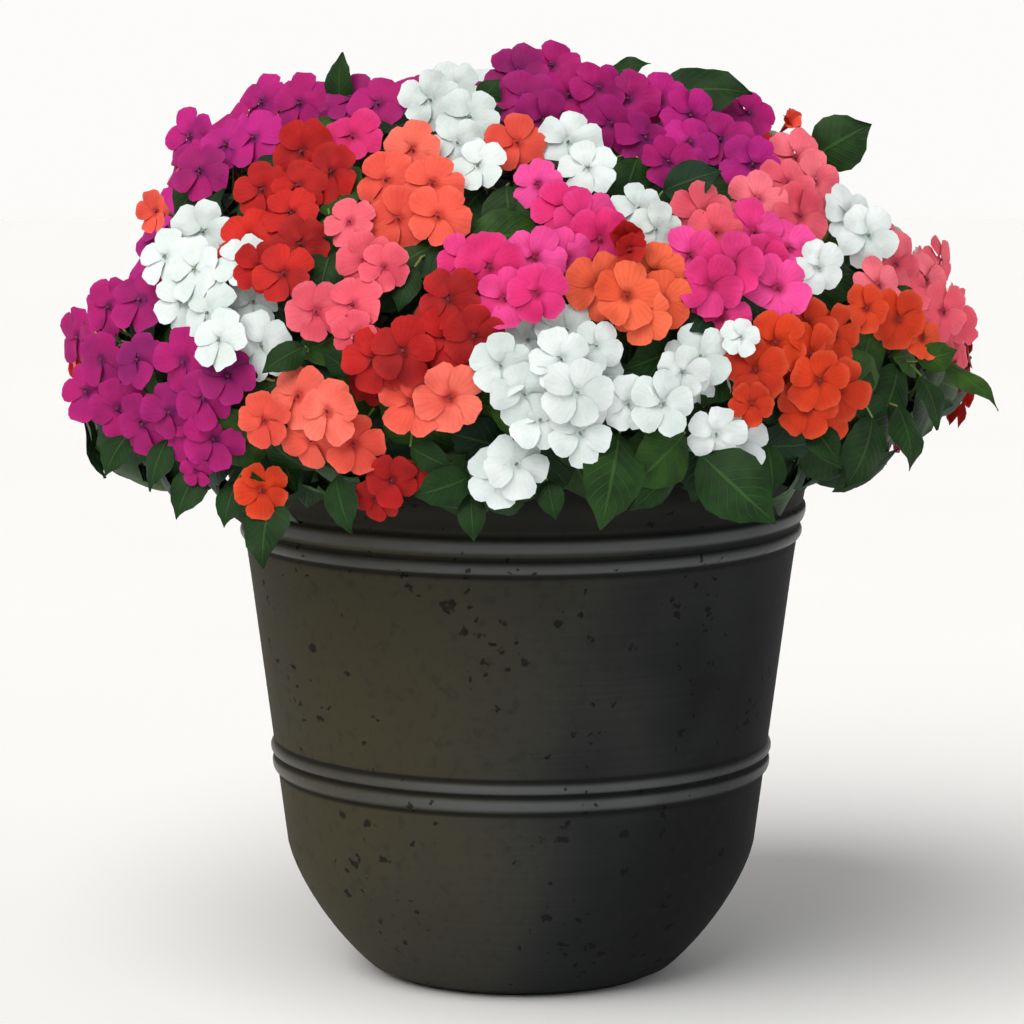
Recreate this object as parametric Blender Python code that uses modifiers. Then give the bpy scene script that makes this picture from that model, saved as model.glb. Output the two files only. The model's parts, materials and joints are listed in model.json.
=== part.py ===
"""Potted impatiens: a round banded planter of soil, with leafy plants and their heads of flowers.

Metres, +Z up. The origin is the centre of the planter's flat base, and -Y is the side seen first.
"""

import math
import random

import bmesh
import bpy
from mathutils import Matrix, Vector
from mathutils.bvhtree import BVHTree

# Planter, as turned on a wheel
BASE_RADIUS = 0.1068
BOWL_HEIGHT = 0.102
BOWL_RADIUS = 0.1765
BOWL_SWELL = 1.42
BOWL_ROUND = 1.2
WALL_LEAN = 0.13
FLARE_FROM = 0.29
FLARE = 1.1
WALL = 0.010
FLOOR = 0.016
LIP_HEIGHT = 0.400
LIP_RADIUS = 0.2265
LIP_ROLL = 0.013
LIP_INSIDE = 0.206
LOWER_BEADS = (0.158, 0.170)
UPPER_BEADS = (0.334, 0.348)
BEAD_PROUD = 0.0030
BEAD_HALF = 0.0050
TURNED_SIDES = 28
INSIDE_HEIGHTS = (0.036, 0.095)
INSIDE_CORNER = 0.006
LIP_INNER_CORNER = 0.004
LIP_OUTER_CORNER = 0.006
WALL_HEIGHTS = (0.290, 0.230)
BOWL_HEIGHTS = (0.125, 0.092, 0.064, 0.042, 0.023, 0.008)
BASE_CORNER = 0.002

# Drain holes through the planter's floor
DRAIN_HOLES = 4
DRAIN_RADIUS = 0.008
DRAIN_CIRCLE = 0.055
DRAIN_SIDES = 8
CUT_PAST = 0.010

# Potting soil, and the holes that the stems stand in
FIT_GAP = 0.0003
SOIL_EDGE = 0.362
SOIL_CROWN = 0.370
SOIL_SHOULDER = (0.110, 0.368)
STEM_RADIUS = 0.0065
STEM_SIDES = 6
STEM_DEPTH = 0.055

# Plants: one in the middle and a ring of them round it
RING_PLANTS = ("front", "front_right", "right", "back_right", "back_left", "left", "front_left")
RING_RADIUS = 0.188
RING_STEM_RADIUS = 0.150
RING_HEIGHT = 0.498
RING_CORE = (0.102, 0.078, 0.096)
MIDDLE_HEIGHT = 0.552
MIDDLE_CORE = (0.104, 0.104, 0.104)
CORE_ROUGH = 0.28
STEM_REACH = 0.4

# The mound that the flowers make
MOUND_HEIGHT = 0.460
MOUND_RADIUS = 0.347
MOUND_RISE = 0.2375
MOUND_DROP = 0.190

# The view that the flowers are laid out in: an eye, what it looks at, and real size to a pixel there
EYE = Vector((0.0, -3.6, 0.857))
AIM = Vector((0.0, 0.0, 0.33))
AIM_PIXEL = (521, 533)
PIXEL = 0.00075

# Flowers
BLOOM_RADIUS = (0.0225, 0.0260)
PETALS = 5
NOTCH_SHARE = 0.66
LOBE_POWER = 0.6
FACE_DROP = 0.10
PETAL_THICK = 0.0012
NECK_DEPTH = 0.0050
PEDICEL_RADIUS = 0.0012
HUB_RADIUS = 0.0070
HUB_SIDES = 5
HUB_DEPTH = 0.036
FOOT_DEPTH = 0.0030
FOOT_SPREAD = 0.0036
STALK_RADIUS = 0.0012
STALK_GAP = 0.0005

# How a flower may sit: how far it faces out, its tilt, and how far its place, height and size may stray
FACE_OUT = 0.8
CROWN_FACING = 0.16
FACE_TILT = 0.25
PEDICEL_BEND = math.radians(55)
HUB_LEAST = 0.014
HUB_SINK = 0.45
BACK_STEP = 0.2
SPOT_JITTER = 0.5
SPREAD_ROUNDS = 80
SPREAD_PUSH = 0.25
SPACING = 58
BLOOM_TRIES = 90
MOST_ASIDE = 26
MOST_LIFT = 0.017
MOST_SHRINK = 0.14

# Leaves
LEAF_THICK = 0.0009
LEAF_ARCH = 0.32
LEAF_BELLY = 0.8
LEAF_FULLNESS = 0.85
PETIOLE_RADIUS = 0.0013
PETIOLE_END = (0.0018, 0.0010)
ROOT_DEPTH = 0.006
SEEN_STATIONS = (0.30, 0.66)
MORE_STATIONS = (0.50,)

# Space is shared out in cells this wide, so that no piece crosses another
CELL = 0.003

# Steps that never fall into rows
GOLDEN_SHARE = (math.sqrt(5) - 1) / 2
GOLDEN_ANGLE = math.pi * (3 - math.sqrt(5))

# Heads of flowers in the view: name, colour, centre pixel, half width and half height in pixels, blooms
FRONT_HEADS = (
    ("crown_left_shoulder", "magenta", 212, 158, 22, 20, 3),
    ("crown_left", "magenta", 322, 100, 56, 12, 3),
    ("crown_middle_left", "white", 452, 127, 18, 36, 3),
    ("crown_middle", "magenta", 536, 84, 10, 22, 2),
    ("crown_right", "magenta", 624, 100, 42, 12, 4),
    ("crown_right_shoulder", "magenta", 720, 145, 42, 20, 4),
    ("upper_dot", "white", 581, 152, 4, 18, 2),
    ("upper_dot", "coral", 517, 147, 0, 0, 1),
    ("upper_left", "coral", 419, 188, 28, 40, 5),
    ("upper_left_dot", "hot_pink", 352, 137, 0, 0, 1),
    ("upper_left", "red", 288, 212, 28, 60, 6),
    ("middle_left", "rose", 354, 284, 24, 58, 5),
    ("left", "white", 210, 288, 36, 54, 7),
    ("far_left", "magenta", 108, 355, 22, 54, 6),
    ("lower_left", "magenta", 203, 402, 20, 36, 4),
    ("middle", "hot_pink", 532, 250, 52, 44, 8),
    ("middle", "red", 424, 332, 42, 32, 5),
    ("lower_left", "coral", 316, 424, 44, 26, 5),
    ("lower_middle", "coral", 428, 400, 28, 8, 3),
    ("middle", "white", 552, 382, 46, 46, 8),
    ("lowest", "white", 502, 473, 0, 0, 1),
    ("lower_right", "white", 680, 398, 50, 36, 7),
    ("middle_right", "orange", 626, 300, 34, 16, 4),
    ("upper_middle", "white", 648, 222, 8, 14, 2),
    ("upper_right", "rose", 756, 200, 58, 30, 5),
    ("right", "hot_pink", 742, 276, 40, 30, 6),
    ("right", "white", 842, 246, 30, 22, 3),
    ("far_right", "rose", 928, 292, 32, 36, 5),
    ("far_right", "orange", 893, 322, 26, 8, 3),
    ("lower_right", "orange", 796, 371, 32, 34, 6),
    ("fringe_left", "orange", 260, 488, 0, 0, 1),
    ("fringe_middle", "red", 380, 494, 0, 0, 1),
)

# Heads on the sides and the back, in rows: height, first and last azimuth in degrees from +X, heads
BACK_ROWS = ((0.440, 12, 166, 6), (0.545, 6, 150, 5), (0.625, 14, 166, 3))
BACK_COLOURS = ("rose", "magenta", "white", "orange", "hot_pink", "red", "coral")
BACK_SPREAD = (34, 24)
BACK_BLOOMS = 3

# Leaves that show past the flowers in the view: base pixel, tip pixel, half width over length
SEEN_LEAVES = (
    ((338, 100), (342, 52), 0.30),
    ((668, 84), (750, 100), 0.28),
    ((605, 70), (650, 62), 0.30),
    ((818, 150), (872, 124), 0.44),
    ((948, 362), (1000, 408), 0.20),
    ((512, 196), (492, 246), 0.40),
    ((470, 96), (497, 84), 0.35),
    ((622, 170), (640, 205), 0.36),
    ((690, 168), (722, 190), 0.34),
    ((412, 262), (398, 312), 0.30),
    ((300, 345), (262, 372), 0.32),
    ((352, 372), (322, 352), 0.36),
    ((126, 432), (104, 478), 0.36),
    ((162, 440), (150, 492), 0.30),
    ((196, 468), (176, 520), 0.34),
    ((268, 500), (262, 568), 0.34),
    ((332, 482), (352, 535), 0.30),
    ((408, 450), (452, 468), 0.34),
    ((470, 482), (412, 496), 0.34),
    ((470, 500), (474, 542), 0.30),
    ((668, 446), (602, 530), 0.28),
    ((640, 470), (682, 480), 0.30),
    ((704, 458), (776, 524), 0.34),
    ((772, 448), (772, 496), 0.34),
    ((818, 428), (838, 462), 0.40),
    ((862, 402), (872, 372), 0.36),
    ((880, 420), (846, 488), 0.40),
    ((906, 408), (912, 470), 0.36),
    ((930, 376), (938, 430), 0.34),
    ((872, 470), (832, 492), 0.34),
    ((548, 486), (556, 520), 0.34),
    ((232, 486), (224, 528), 0.34),
)
LEAF_SINKS = (0.012, 0.018, 0.024, 0.030, 0.038, 0.046)
LEAF_LEAN = 0.2
LEAF_TILT = 0.2
LEAF_OUT = 0.6

# Leaves on all sides: where on a core they start, how they head, and their size
LEAF_TOP = 0.75
LEAF_FALL = 1.45
LEAF_RISE = 1.1
LEAF_SWING = 0.4
LEAF_SAG = 0.7
LEAST_OUTWARD = 0.6
BARE_FRONT = -0.6
MOST_OUT = 1.08
LEAF_TRIES = 2400
MOST_LEAVES = 90
LEAF_LENGTH = (0.052, 0.068)
LEAF_SHARE = (0.30, 0.37)

COLOURS = {
    "planter": ((0.045, 0.043, 0.036), 0.55, 0.0),
    "soil": ((0.035, 0.022, 0.014), 0.95, 0.0),
    "foliage": ((0.045, 0.145, 0.030), 0.45, 0.0),
    "white": ((0.80, 0.86, 0.83), 0.60, 0.0),
    "magenta": ((0.50, 0.012, 0.24), 0.55, 0.0),
    "hot_pink": ((0.80, 0.045, 0.28), 0.55, 0.0),
    "rose": ((0.86, 0.13, 0.20), 0.55, 0.0),
    "coral": ((0.86, 0.12, 0.075), 0.55, 0.0),
    "orange": ((0.80, 0.055, 0.008), 0.55, 0.0),
    "red": ((0.56, 0.010, 0.008), 0.55, 0.0),
}


# Blender helpers


def clear_scene():
    for obj in list(bpy.data.objects):
        bpy.data.objects.remove(obj)


def new_collection(name):
    collection = bpy.data.collections.new(name)
    bpy.context.scene.collection.children.link(collection)
    return collection


def make_materials():
    made = {}
    for name, (colour, roughness, metallic) in COLOURS.items():
        material = bpy.data.materials.new(name)
        material.use_nodes = True
        shader = material.node_tree.nodes["Principled BSDF"]
        shader.inputs["Base Color"].default_value = (*colour, 1.0)
        shader.inputs["Roughness"].default_value = roughness
        shader.inputs["Metallic"].default_value = metallic
        made[name] = material
    return made


def object_from(bm, name, collection, material=None):
    """Turns a bmesh into an object with its normals facing out."""
    bmesh.ops.recalc_face_normals(bm, faces=bm.faces)
    mesh = bpy.data.meshes.new(name)
    bm.to_mesh(mesh)
    bm.free()
    if material:
        mesh.materials.append(material)
    obj = bpy.data.objects.new(name, mesh)
    collection.objects.link(obj)
    return obj


def apply_modifiers(obj):
    """Replaces the object's mesh by its evaluated one."""
    graph = bpy.context.evaluated_depsgraph_get()
    made = bpy.data.meshes.new_from_object(obj.evaluated_get(graph))
    obj.modifiers.clear()
    obj.data = made


def fuse(body, repeats):
    """Joins every object of the collection to the body by one Boolean union, then removes them.

    MANIFOLD is the solver here, because EXACT leaves open edges where thin stalks meet.
    """
    union = body.modifiers.new("fused", "BOOLEAN")
    union.operation = "UNION"
    union.operand_type = "COLLECTION"
    union.collection = repeats
    union.solver = "MANIFOLD"
    bpy.context.view_layer.update()
    apply_modifiers(body)
    for obj in list(repeats.objects):
        bpy.data.objects.remove(obj)


def cut(body, cutter):
    """Cuts one helper from the body, then removes it."""
    difference = body.modifiers.new("cut", "BOOLEAN")
    difference.operation = "DIFFERENCE"
    difference.object = cutter
    difference.solver = "EXACT"
    bpy.context.view_layer.update()
    apply_modifiers(body)
    bpy.data.objects.remove(cutter)


def turned(name, profile, collection, material):
    """Turns a profile of (radius, height) points round the Z axis."""
    mesh = bpy.data.meshes.new(name)
    points = [(radius, 0.0, height) for radius, height in profile]
    mesh.from_pydata(points, [(i, i + 1) for i in range(len(points) - 1)], [])
    mesh.materials.append(material)
    obj = bpy.data.objects.new(name, mesh)
    collection.objects.link(obj)
    screw = obj.modifiers.new("turned", "SCREW")
    screw.steps = TURNED_SIDES
    screw.render_steps = TURNED_SIDES
    screw.use_merge_vertices = True
    screw.merge_threshold = 0.00005
    screw.use_normal_calculate = False
    bpy.context.view_layer.update()
    apply_modifiers(obj)
    return obj


def upright_prism(bm, place, radius, low, high, sides):
    """A closed upright prism round a point, between two heights."""
    middle = Vector((place[0], place[1], (low + high) / 2))
    bmesh.ops.create_cone(
        bm,
        cap_ends=True,
        segments=sides,
        radius1=radius,
        radius2=radius,
        depth=high - low,
        matrix=Matrix.Translation(middle),
    )


def loft(bm, rings):
    """Joins rings of points, all of one count, into one closed tube with flat ends."""
    made = [[bm.verts.new(point) for point in ring] for ring in rings]
    count = len(made[0])
    for ring, after in zip(made, made[1:]):
        for i in range(count):
            bm.faces.new((ring[i], ring[(i + 1) % count], after[(i + 1) % count], after[i]))
    bm.faces.new(made[0])
    bm.faces.new(made[-1])


# Planter


def wall_radius(height):
    """Outer radius of the bare wall: a bowl below, then a wall that leans and flares."""
    if height < BOWL_HEIGHT:
        share = 1.0 - (1.0 - height / BOWL_HEIGHT) ** BOWL_SWELL
        return BASE_RADIUS + (BOWL_RADIUS - BASE_RADIUS) * share ** (1.0 / BOWL_ROUND)
    flare = FLARE * max(0.0, height - FLARE_FROM) ** 2
    return BOWL_RADIUS + WALL_LEAN * (height - BOWL_HEIGHT) + flare


def bead_points(beads):
    """A pair of raised beads with a groove between them, from the top down."""
    low, high = beads
    heights = (
        (high + BEAD_HALF, 0.0),
        (high, BEAD_PROUD),
        ((low + high) / 2, 0.0),
        (low, BEAD_PROUD),
        (low - BEAD_HALF, 0.0),
    )
    return [(wall_radius(z) + proud, z) for z, proud in heights]


def inside_profile(gap):
    """The planter's inner wall from the floor up, drawn in by a gap."""
    floor_radius = wall_radius(FLOOR) - WALL - INSIDE_CORNER
    side = [(wall_radius(z) - WALL - gap, z) for z in (*INSIDE_HEIGHTS, SOIL_EDGE)]
    return [(0.0, FLOOR + gap), (floor_radius - gap, FLOOR + gap), *side]


def planter_profile():
    """Up the inside, over the rolled lip and down the outside to the flat base."""
    lip_low = LIP_HEIGHT - 2 * LIP_ROLL
    lip = [
        (LIP_INSIDE, LIP_HEIGHT - LIP_INNER_CORNER),
        (LIP_INSIDE + LIP_INNER_CORNER, LIP_HEIGHT),
        (LIP_RADIUS - LIP_OUTER_CORNER, LIP_HEIGHT),
        (LIP_RADIUS, LIP_HEIGHT - 0.6 * LIP_ROLL),
        (LIP_RADIUS - 0.001, LIP_HEIGHT - 1.3 * LIP_ROLL),
        (wall_radius(lip_low) + 0.002, lip_low),
    ]
    between = [(wall_radius(z), z) for z in WALL_HEIGHTS]
    bowl = [(wall_radius(z), z) for z in BOWL_HEIGHTS]
    base = [(BASE_RADIUS - BASE_CORNER, 0.0), (0.0, 0.0)]
    beads = bead_points(UPPER_BEADS), bead_points(LOWER_BEADS)
    return [*inside_profile(0.0), *lip, *beads[0], *between, *beads[1], *bowl, *base]


def make_planter(parts, helpers, materials):
    planter = turned("planter", planter_profile(), parts, materials["planter"])
    bm = bmesh.new()
    for i in range(DRAIN_HOLES):
        angle = math.tau * (i + 0.5) / DRAIN_HOLES
        place = (DRAIN_CIRCLE * math.cos(angle), DRAIN_CIRCLE * math.sin(angle))
        upright_prism(bm, place, DRAIN_RADIUS, -CUT_PAST, FLOOR + CUT_PAST, DRAIN_SIDES)
    cut(planter, object_from(bm, "drain_cutter", helpers))


# Soil


def plant_places():
    """Each plant's name, stem place, and its core's centre, half sizes, turn and surface."""
    middle = Vector((0.0, 0.0, 0.0))
    places = [("middle", middle, Vector((0.0, 0.0, MIDDLE_HEIGHT)), MIDDLE_CORE, 0.0)]
    for i, name in enumerate(RING_PLANTS):
        angle = -math.pi / 2 + math.tau * i / len(RING_PLANTS)
        out = Vector((math.cos(angle), math.sin(angle), 0.0))
        core = out * RING_RADIUS + Vector((0.0, 0.0, RING_HEIGHT))
        places.append((name, out * RING_STEM_RADIUS, core, RING_CORE, angle))
    return [(*place, core_tree(*place[2:])) for place in places]


def core_mesh(centre, half, turn):
    """The dense middle of a plant: a faceted ellipsoid, rough all over."""
    bm = bmesh.new()
    bmesh.ops.create_icosphere(bm, subdivisions=2, radius=1.0)
    for i, vert in enumerate(bm.verts):
        vert.co *= 1.0 - CORE_ROUGH * ((i * GOLDEN_SHARE) % 1.0)
    shape = Matrix.Translation(centre) @ Matrix.Rotation(turn, 4, "Z") @ Matrix.Diagonal((*half, 1.0))
    bmesh.ops.transform(bm, matrix=shape, verts=bm.verts)
    return bm


def core_tree(centre, half, turn):
    """A core's surface, for measuring to it."""
    bm = core_mesh(centre, half, turn)
    tree = BVHTree.FromBMesh(bm)
    bm.free()
    return tree


def make_soil(parts, helpers, materials, plants):
    crown = [SOIL_SHOULDER, (0.0, SOIL_CROWN)]
    soil = turned("potting_soil", inside_profile(FIT_GAP) + crown, parts, materials["soil"])
    bottom = SOIL_EDGE - STEM_DEPTH - FIT_GAP
    bm = bmesh.new()
    for _, place, *_ in plants:
        upright_prism(bm, place, STEM_RADIUS + 2 * FIT_GAP, bottom, SOIL_CROWN + CUT_PAST, STEM_SIDES)
    cut(soil, object_from(bm, "stem_hole_cutter", helpers))


# Planting plan: where each flower and leaf goes


def sight(px, py, turn=0.0):
    """Eye and direction of the line of sight through a pixel, in the view turned round the pot."""
    ahead = (AIM - EYE).normalized()
    right = Vector((1.0, 0.0, 0.0))
    up = right.cross(ahead)
    focal = (AIM - EYE).length / PIXEL
    way = ahead * focal + right * (px - AIM_PIXEL[0]) + up * (AIM_PIXEL[1] - py)
    round_pot = Matrix.Rotation(turn, 3, "Z")
    return round_pot @ EYE, round_pot @ way.normalized()


def pixel_of(point):
    """The pixel that shows a point in the view."""
    ahead = (AIM - EYE).normalized()
    up = Vector((1.0, 0.0, 0.0)).cross(ahead)
    focal = (AIM - EYE).length / PIXEL
    away = point - EYE
    depth = away.dot(ahead)
    return AIM_PIXEL[0] + focal * away.x / depth, AIM_PIXEL[1] - focal * away.dot(up) / depth


def mound_half(z):
    return MOUND_RISE if z >= MOUND_HEIGHT else MOUND_DROP


def on_mound(px, py, turn=0.0):
    """The point of the mound that a pixel shows, or for a pixel just outside it the nearest one."""
    eye, way = sight(px, py, turn)
    centre = Vector((0.0, 0.0, MOUND_HEIGHT))
    for half in (MOUND_RISE, MOUND_DROP):
        squash = Vector((1 / MOUND_RADIUS, 1 / MOUND_RADIUS, 1 / half))
        start = (eye - centre) * squash
        step = way * squash
        nearest = -start.dot(step) / step.length_squared
        beyond = start + step * nearest
        inside = max(0.0, 1.0 - beyond.length_squared)
        point = eye + way * (nearest - math.sqrt(inside / step.length_squared))
        if mound_half(point.z) == half:
            break
    if inside == 0.0:
        point = centre + (point - centre) / beyond.length
    return point


def out_of_mound(point):
    """How far out a point is, where 1 is the mound's surface."""
    across = math.hypot(point.x, point.y) / MOUND_RADIUS
    return math.hypot(across, (point.z - MOUND_HEIGHT) / mound_half(point.z))


def mound_normal(point):
    half = mound_half(point.z)
    across = MOUND_RADIUS**2
    return Vector((point.x / across, point.y / across, (point.z - MOUND_HEIGHT) / half**2)).normalized()


def outward(point, turn):
    """Level direction away from a line behind the pot's axis, so that the crown faces the view."""
    behind = Matrix.Rotation(turn, 3, "Z") @ Vector((0.0, CROWN_FACING, 0.0))
    away = point - behind
    return Vector((away.x, away.y, 0.0)).normalized()


class Space:
    """Cells of space and what is in them. Each piece also takes the cells round its own."""

    def __init__(self, plants):
        self.plants = plants
        self.own = {}
        self.near = {}

    def blocked(self, points, node, skip=None, root=None):
        """Whether points come near another node, meet their own node, or are in a core or the planter."""
        for point in points:
            cell = tuple(math.floor(value / CELL) for value in point)
            for owner in self.near.get(cell, ()):
                if owner != skip and (owner[0] != node or cell in self.own[owner]):
                    return True
            if self.in_solid(point, root):
                return True
        return False

    def in_solid(self, point, root):
        if point.z < LIP_HEIGHT + CELL and math.hypot(point.x, point.y) < LIP_RADIUS + CELL:
            return True
        return any(
            name != root and core_share(point, core, half, turn) < 1.0 + CELL / min(half)
            for name, _, core, half, turn, _ in self.plants
        )

    def take(self, points, owner):
        """Gives the points' cells to a piece, whose owner is a pair: its node and its own name."""
        own = self.own.setdefault(owner, set())
        for point in points:
            x, y, z = (math.floor(value / CELL) for value in point)
            own.add((x, y, z))
            for i in (-1, 0, 1):
                for j in (-1, 0, 1):
                    for k in (-1, 0, 1):
                        self.near.setdefault((x + i, y + j, z + k), set()).add(owner)


def core_share(point, core, half, turn):
    """How far out a point is from a core's centre, where 1 is the core's surface."""
    local = Matrix.Rotation(-turn, 3, "Z") @ (point - core)
    return Vector((local.x / half[0], local.y / half[1], local.z / half[2])).length


def nearest_plant(point, plants):
    return min(plants, key=lambda plant: core_share(point, *plant[2:5]))


def line_points(start, end):
    steps = max(1, math.ceil((end - start).length / CELL))
    return [start.lerp(end, i / steps) for i in range(steps + 1)]


def bloom_axes(normal, spin):
    """Rotation that lays a flower's face square to its normal, turned by a spin."""
    return normal.to_track_quat("Z", "Y").to_matrix() @ Matrix.Rotation(spin, 3, "Z")


def petal_reach(angle):
    """Share of the flower's radius at an angle: five broad lobes with a notch between them."""
    lobe = math.cos(PETALS * angle / 2) ** 2
    return NOTCH_SHARE + (1.0 - NOTCH_SHARE) * lobe**LOBE_POWER


def face_drop(share):
    """How far the flower's face falls back from its centre, as a share of its radius."""
    return -FACE_DROP * share**2


def plate_points(place, axes, radius):
    """Sample points over a flower's face."""
    points = [place.copy()]
    rings = math.ceil(radius / CELL)
    for ring in range(1, rings + 1):
        share = ring / rings
        count = math.ceil(math.tau * share * radius / CELL)
        for i in range(count):
            angle = math.tau * i / count
            reach = radius * share * petal_reach(angle)
            spot = Vector((math.cos(angle) * reach, math.sin(angle) * reach, face_drop(share) * radius))
            points.append(place + axes @ spot)
    return points


def patch_spots(centre, half_size, count, rng):
    """Spreads a head's flowers over its oval patch of the view, each pushed off those too near it."""
    spots = []
    for i in range(count):
        angle = i * GOLDEN_ANGLE + rng.uniform(-SPOT_JITTER, SPOT_JITTER)
        share = math.sqrt((i + 0.5) / count)
        spots.append(Vector((math.cos(angle) * share * half_size[0], math.sin(angle) * share * half_size[1])))
    for _ in range(SPREAD_ROUNDS):
        for i, spot in enumerate(spots):
            for other in spots[:i] + spots[i + 1 :]:
                apart = spot - other
                if apart.length < SPACING:
                    spot += apart.normalized() * (SPACING - apart.length) * SPREAD_PUSH
            share = math.hypot(spot.x / max(half_size[0], 1.0), spot.y / max(half_size[1], 1.0))
            if share > 1.0:
                spot /= share
    return [spot + Vector(centre) for spot in spots]


def plan_head(number, head, turn, space):
    """Places one head's flowers, hub and stalk, and takes their space."""
    name, colour, px, py, wide, tall, count = head
    rng = random.Random(1000 + number)
    spots = patch_spots((px, py), (wide, tall), count, rng)
    middle = on_mound(px, py, turn)
    reach = max((on_mound(*spot, turn) - middle).length for spot in spots)
    hub = middle - mound_normal(middle) * (HUB_DEPTH + HUB_SINK * reach)
    plant = nearest_plant(hub, space.plants)
    least = 1.0 + HUB_LEAST / min(plant[3])
    share = core_share(hub, *plant[2:5])
    if share < least:
        hub = plant[2] + (hub - plant[2]) * (least / share)
    found = [place_bloom((number, i), spot, turn, hub, space, rng) for i, spot in enumerate(spots)]
    seat = plant[5].find_nearest(hub)[0]
    space.take(line_points(hub, seat), (number, "stalk"))
    return {
        "name": f"{colour}_{name}",
        "colour": colour,
        "hub": hub,
        "seat": seat,
        "spread": max(reach, 2 * HUB_RADIUS),
        "blooms": [bloom for bloom in found if bloom],
    }


def place_bloom(owner, spot, turn, hub, space, rng):
    """Finds a place for one flower where it and its pedicel are clear, by tries that wander ever more."""
    radius = rng.uniform(*BLOOM_RADIUS)
    spin = rng.uniform(0.0, math.tau)
    stalk = (owner[0], "stalk")
    for i in range(BLOOM_TRIES):
        wander = i / BLOOM_TRIES
        aside = Vector((rng.uniform(-1.0, 1.0), rng.uniform(-1.0, 1.0))) * (wander * MOST_ASIDE)
        surface = on_mound(*(spot + aside), turn)
        normal = mound_normal(surface)
        place = surface + normal * (rng.uniform(-1.0, 1.0) * wander * MOST_LIFT)
        tilt = Vector([rng.uniform(-FACE_TILT, FACE_TILT) for _ in range(3)])
        facing = (normal + outward(surface, turn) * FACE_OUT + tilt).normalized()
        axis = clear_of_back(facing, (place - hub).normalized())
        axes = bloom_axes(axis, spin)
        reach = radius * (1.0 - wander * MOST_SHRINK)
        plate = plate_points(place, axes, reach)
        pedicel = line_points(place - axis * NECK_DEPTH, hub)
        if space.blocked(plate, owner[0]) or space.blocked(pedicel, owner[0], skip=stalk):
            continue
        space.take(plate, owner)
        space.take(pedicel, stalk)
        return {"place": place, "axes": axes, "radius": reach}
    return None


def clear_of_back(axis, rise):
    """Turns a flower's axis towards its pedicel's, until the pedicel clears the petals' backs."""
    while axis.angle(rise) > PEDICEL_BEND:
        axis = (axis + BACK_STEP * rise).normalized()
    return axis


def leaf_frame(base, tip, face):
    """Axes of a leaf: along it, across it and out of its face."""
    along = (tip - base).normalized()
    across = along.cross(face).normalized()
    return along, across, across.cross(along)


def leaf_half_width(share):
    """Half width of the blade at a share of its length, where 1 is the widest."""
    return math.sin(math.pi * min(1.0, share) ** LEAF_BELLY) ** LEAF_FULLNESS


def leaf_arch(share):
    """How far the blade rises above the straight line from its base to its tip, over its length."""
    return LEAF_ARCH * share * (1.0 - share)


def leaf_points(leaf):
    """Sample points over a leaf's blade."""
    along, across, out = leaf_frame(leaf["base"], leaf["tip"], leaf["face"])
    length = (leaf["tip"] - leaf["base"]).length
    steps = math.ceil(length / CELL)
    points = []
    for i in range(steps + 1):
        share = i / steps
        half = leaf["width"] * length * leaf_half_width(share)
        count = math.ceil(half / CELL)
        for j in range(-count, count + 1):
            side = half * j / max(count, 1)
            points.append(leaf["base"] + along * share * length + across * side + out * leaf_arch(share) * length)
    return points


def try_leaf(leaf, space):
    """Takes space for a leaf if its blade and petiole are clear, and says whether they were."""
    plant = nearest_plant(leaf["base"], space.plants)
    inward = (plant[2] - leaf["base"]).normalized()
    root = plant[5].ray_cast(leaf["base"] - inward * CELL, inward)[0]
    points = leaf_points(leaf) + line_points(leaf["base"], root)
    if space.blocked(points, plant[0], root=plant[0]):
        return False
    space.take(points, (plant[0], len(space.own)))
    leaf["plant"] = plant[0]
    leaf["root"] = root
    return True


def seen_leaves(space):
    """Leaves that the view shows, each lying across it, and sunk by steps until it clears the flowers."""
    found = []
    rng = random.Random(77)
    ahead = (AIM - EYE).normalized()
    for base_pixel, tip_pixel, width in SEEN_LEAVES:
        for sink in LEAF_SINKS:
            surface = on_mound(*base_pixel)
            normal = mound_normal(surface)
            base = surface - normal * sink
            eye, way = sight(*tip_pixel)
            flat_length = (Vector(tip_pixel) - Vector(base_pixel)).length * PIXEL
            depth = (base - eye).dot(ahead) - LEAF_LEAN * flat_length
            tilt = Vector([rng.uniform(-LEAF_TILT, LEAF_TILT) for _ in range(3)])
            leaf = {
                "base": base,
                "tip": eye + way * (depth / way.dot(ahead)),
                "face": normal + outward(surface, 0.0) * LEAF_OUT + tilt,
                "width": width,
                "stations": SEEN_STATIONS,
            }
            if try_leaf(leaf, space):
                found.append(leaf)
                break
    return found


def more_leaves(space):
    """Leaves straight out of the cores on all sides, wherever the flowers leave room."""
    found = []
    rng = random.Random(5)
    for i in range(LEAF_TRIES):
        turn, which = divmod(i, len(space.plants))
        _, _, centre, _, _, surface = space.plants[which]
        height = LEAF_TOP - LEAF_FALL * ((turn * GOLDEN_SHARE + 0.1 * which) % 1.0)
        angle = turn * GOLDEN_ANGLE + which
        level = math.sqrt(1.0 - height**2)
        way = Vector((level * math.cos(angle), level * math.sin(angle), height))
        base = surface.ray_cast(centre, way)[0]
        normal = mound_normal(base)
        swing = Vector([rng.uniform(-LEAF_SWING, LEAF_SWING) for _ in range(3)])
        fall = normal - way * normal.dot(way) - Vector((0.0, 0.0, LEAF_SAG))
        heading = (LEAF_RISE * way + fall + swing).normalized()
        leaf = {
            "base": base,
            "tip": base + heading * rng.uniform(*LEAF_LENGTH),
            "face": way + normal,
            "width": rng.uniform(*LEAF_SHARE),
            "stations": MORE_STATIONS,
        }
        open_side = way.dot(normal) > LEAST_OUTWARD and normal.y > BARE_FRONT
        if open_side and out_of_mound(leaf["tip"]) < MOST_OUT and try_leaf(leaf, space):
            found.append(leaf)
            if len(found) == MOST_LEAVES:
                break
    return found


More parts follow.
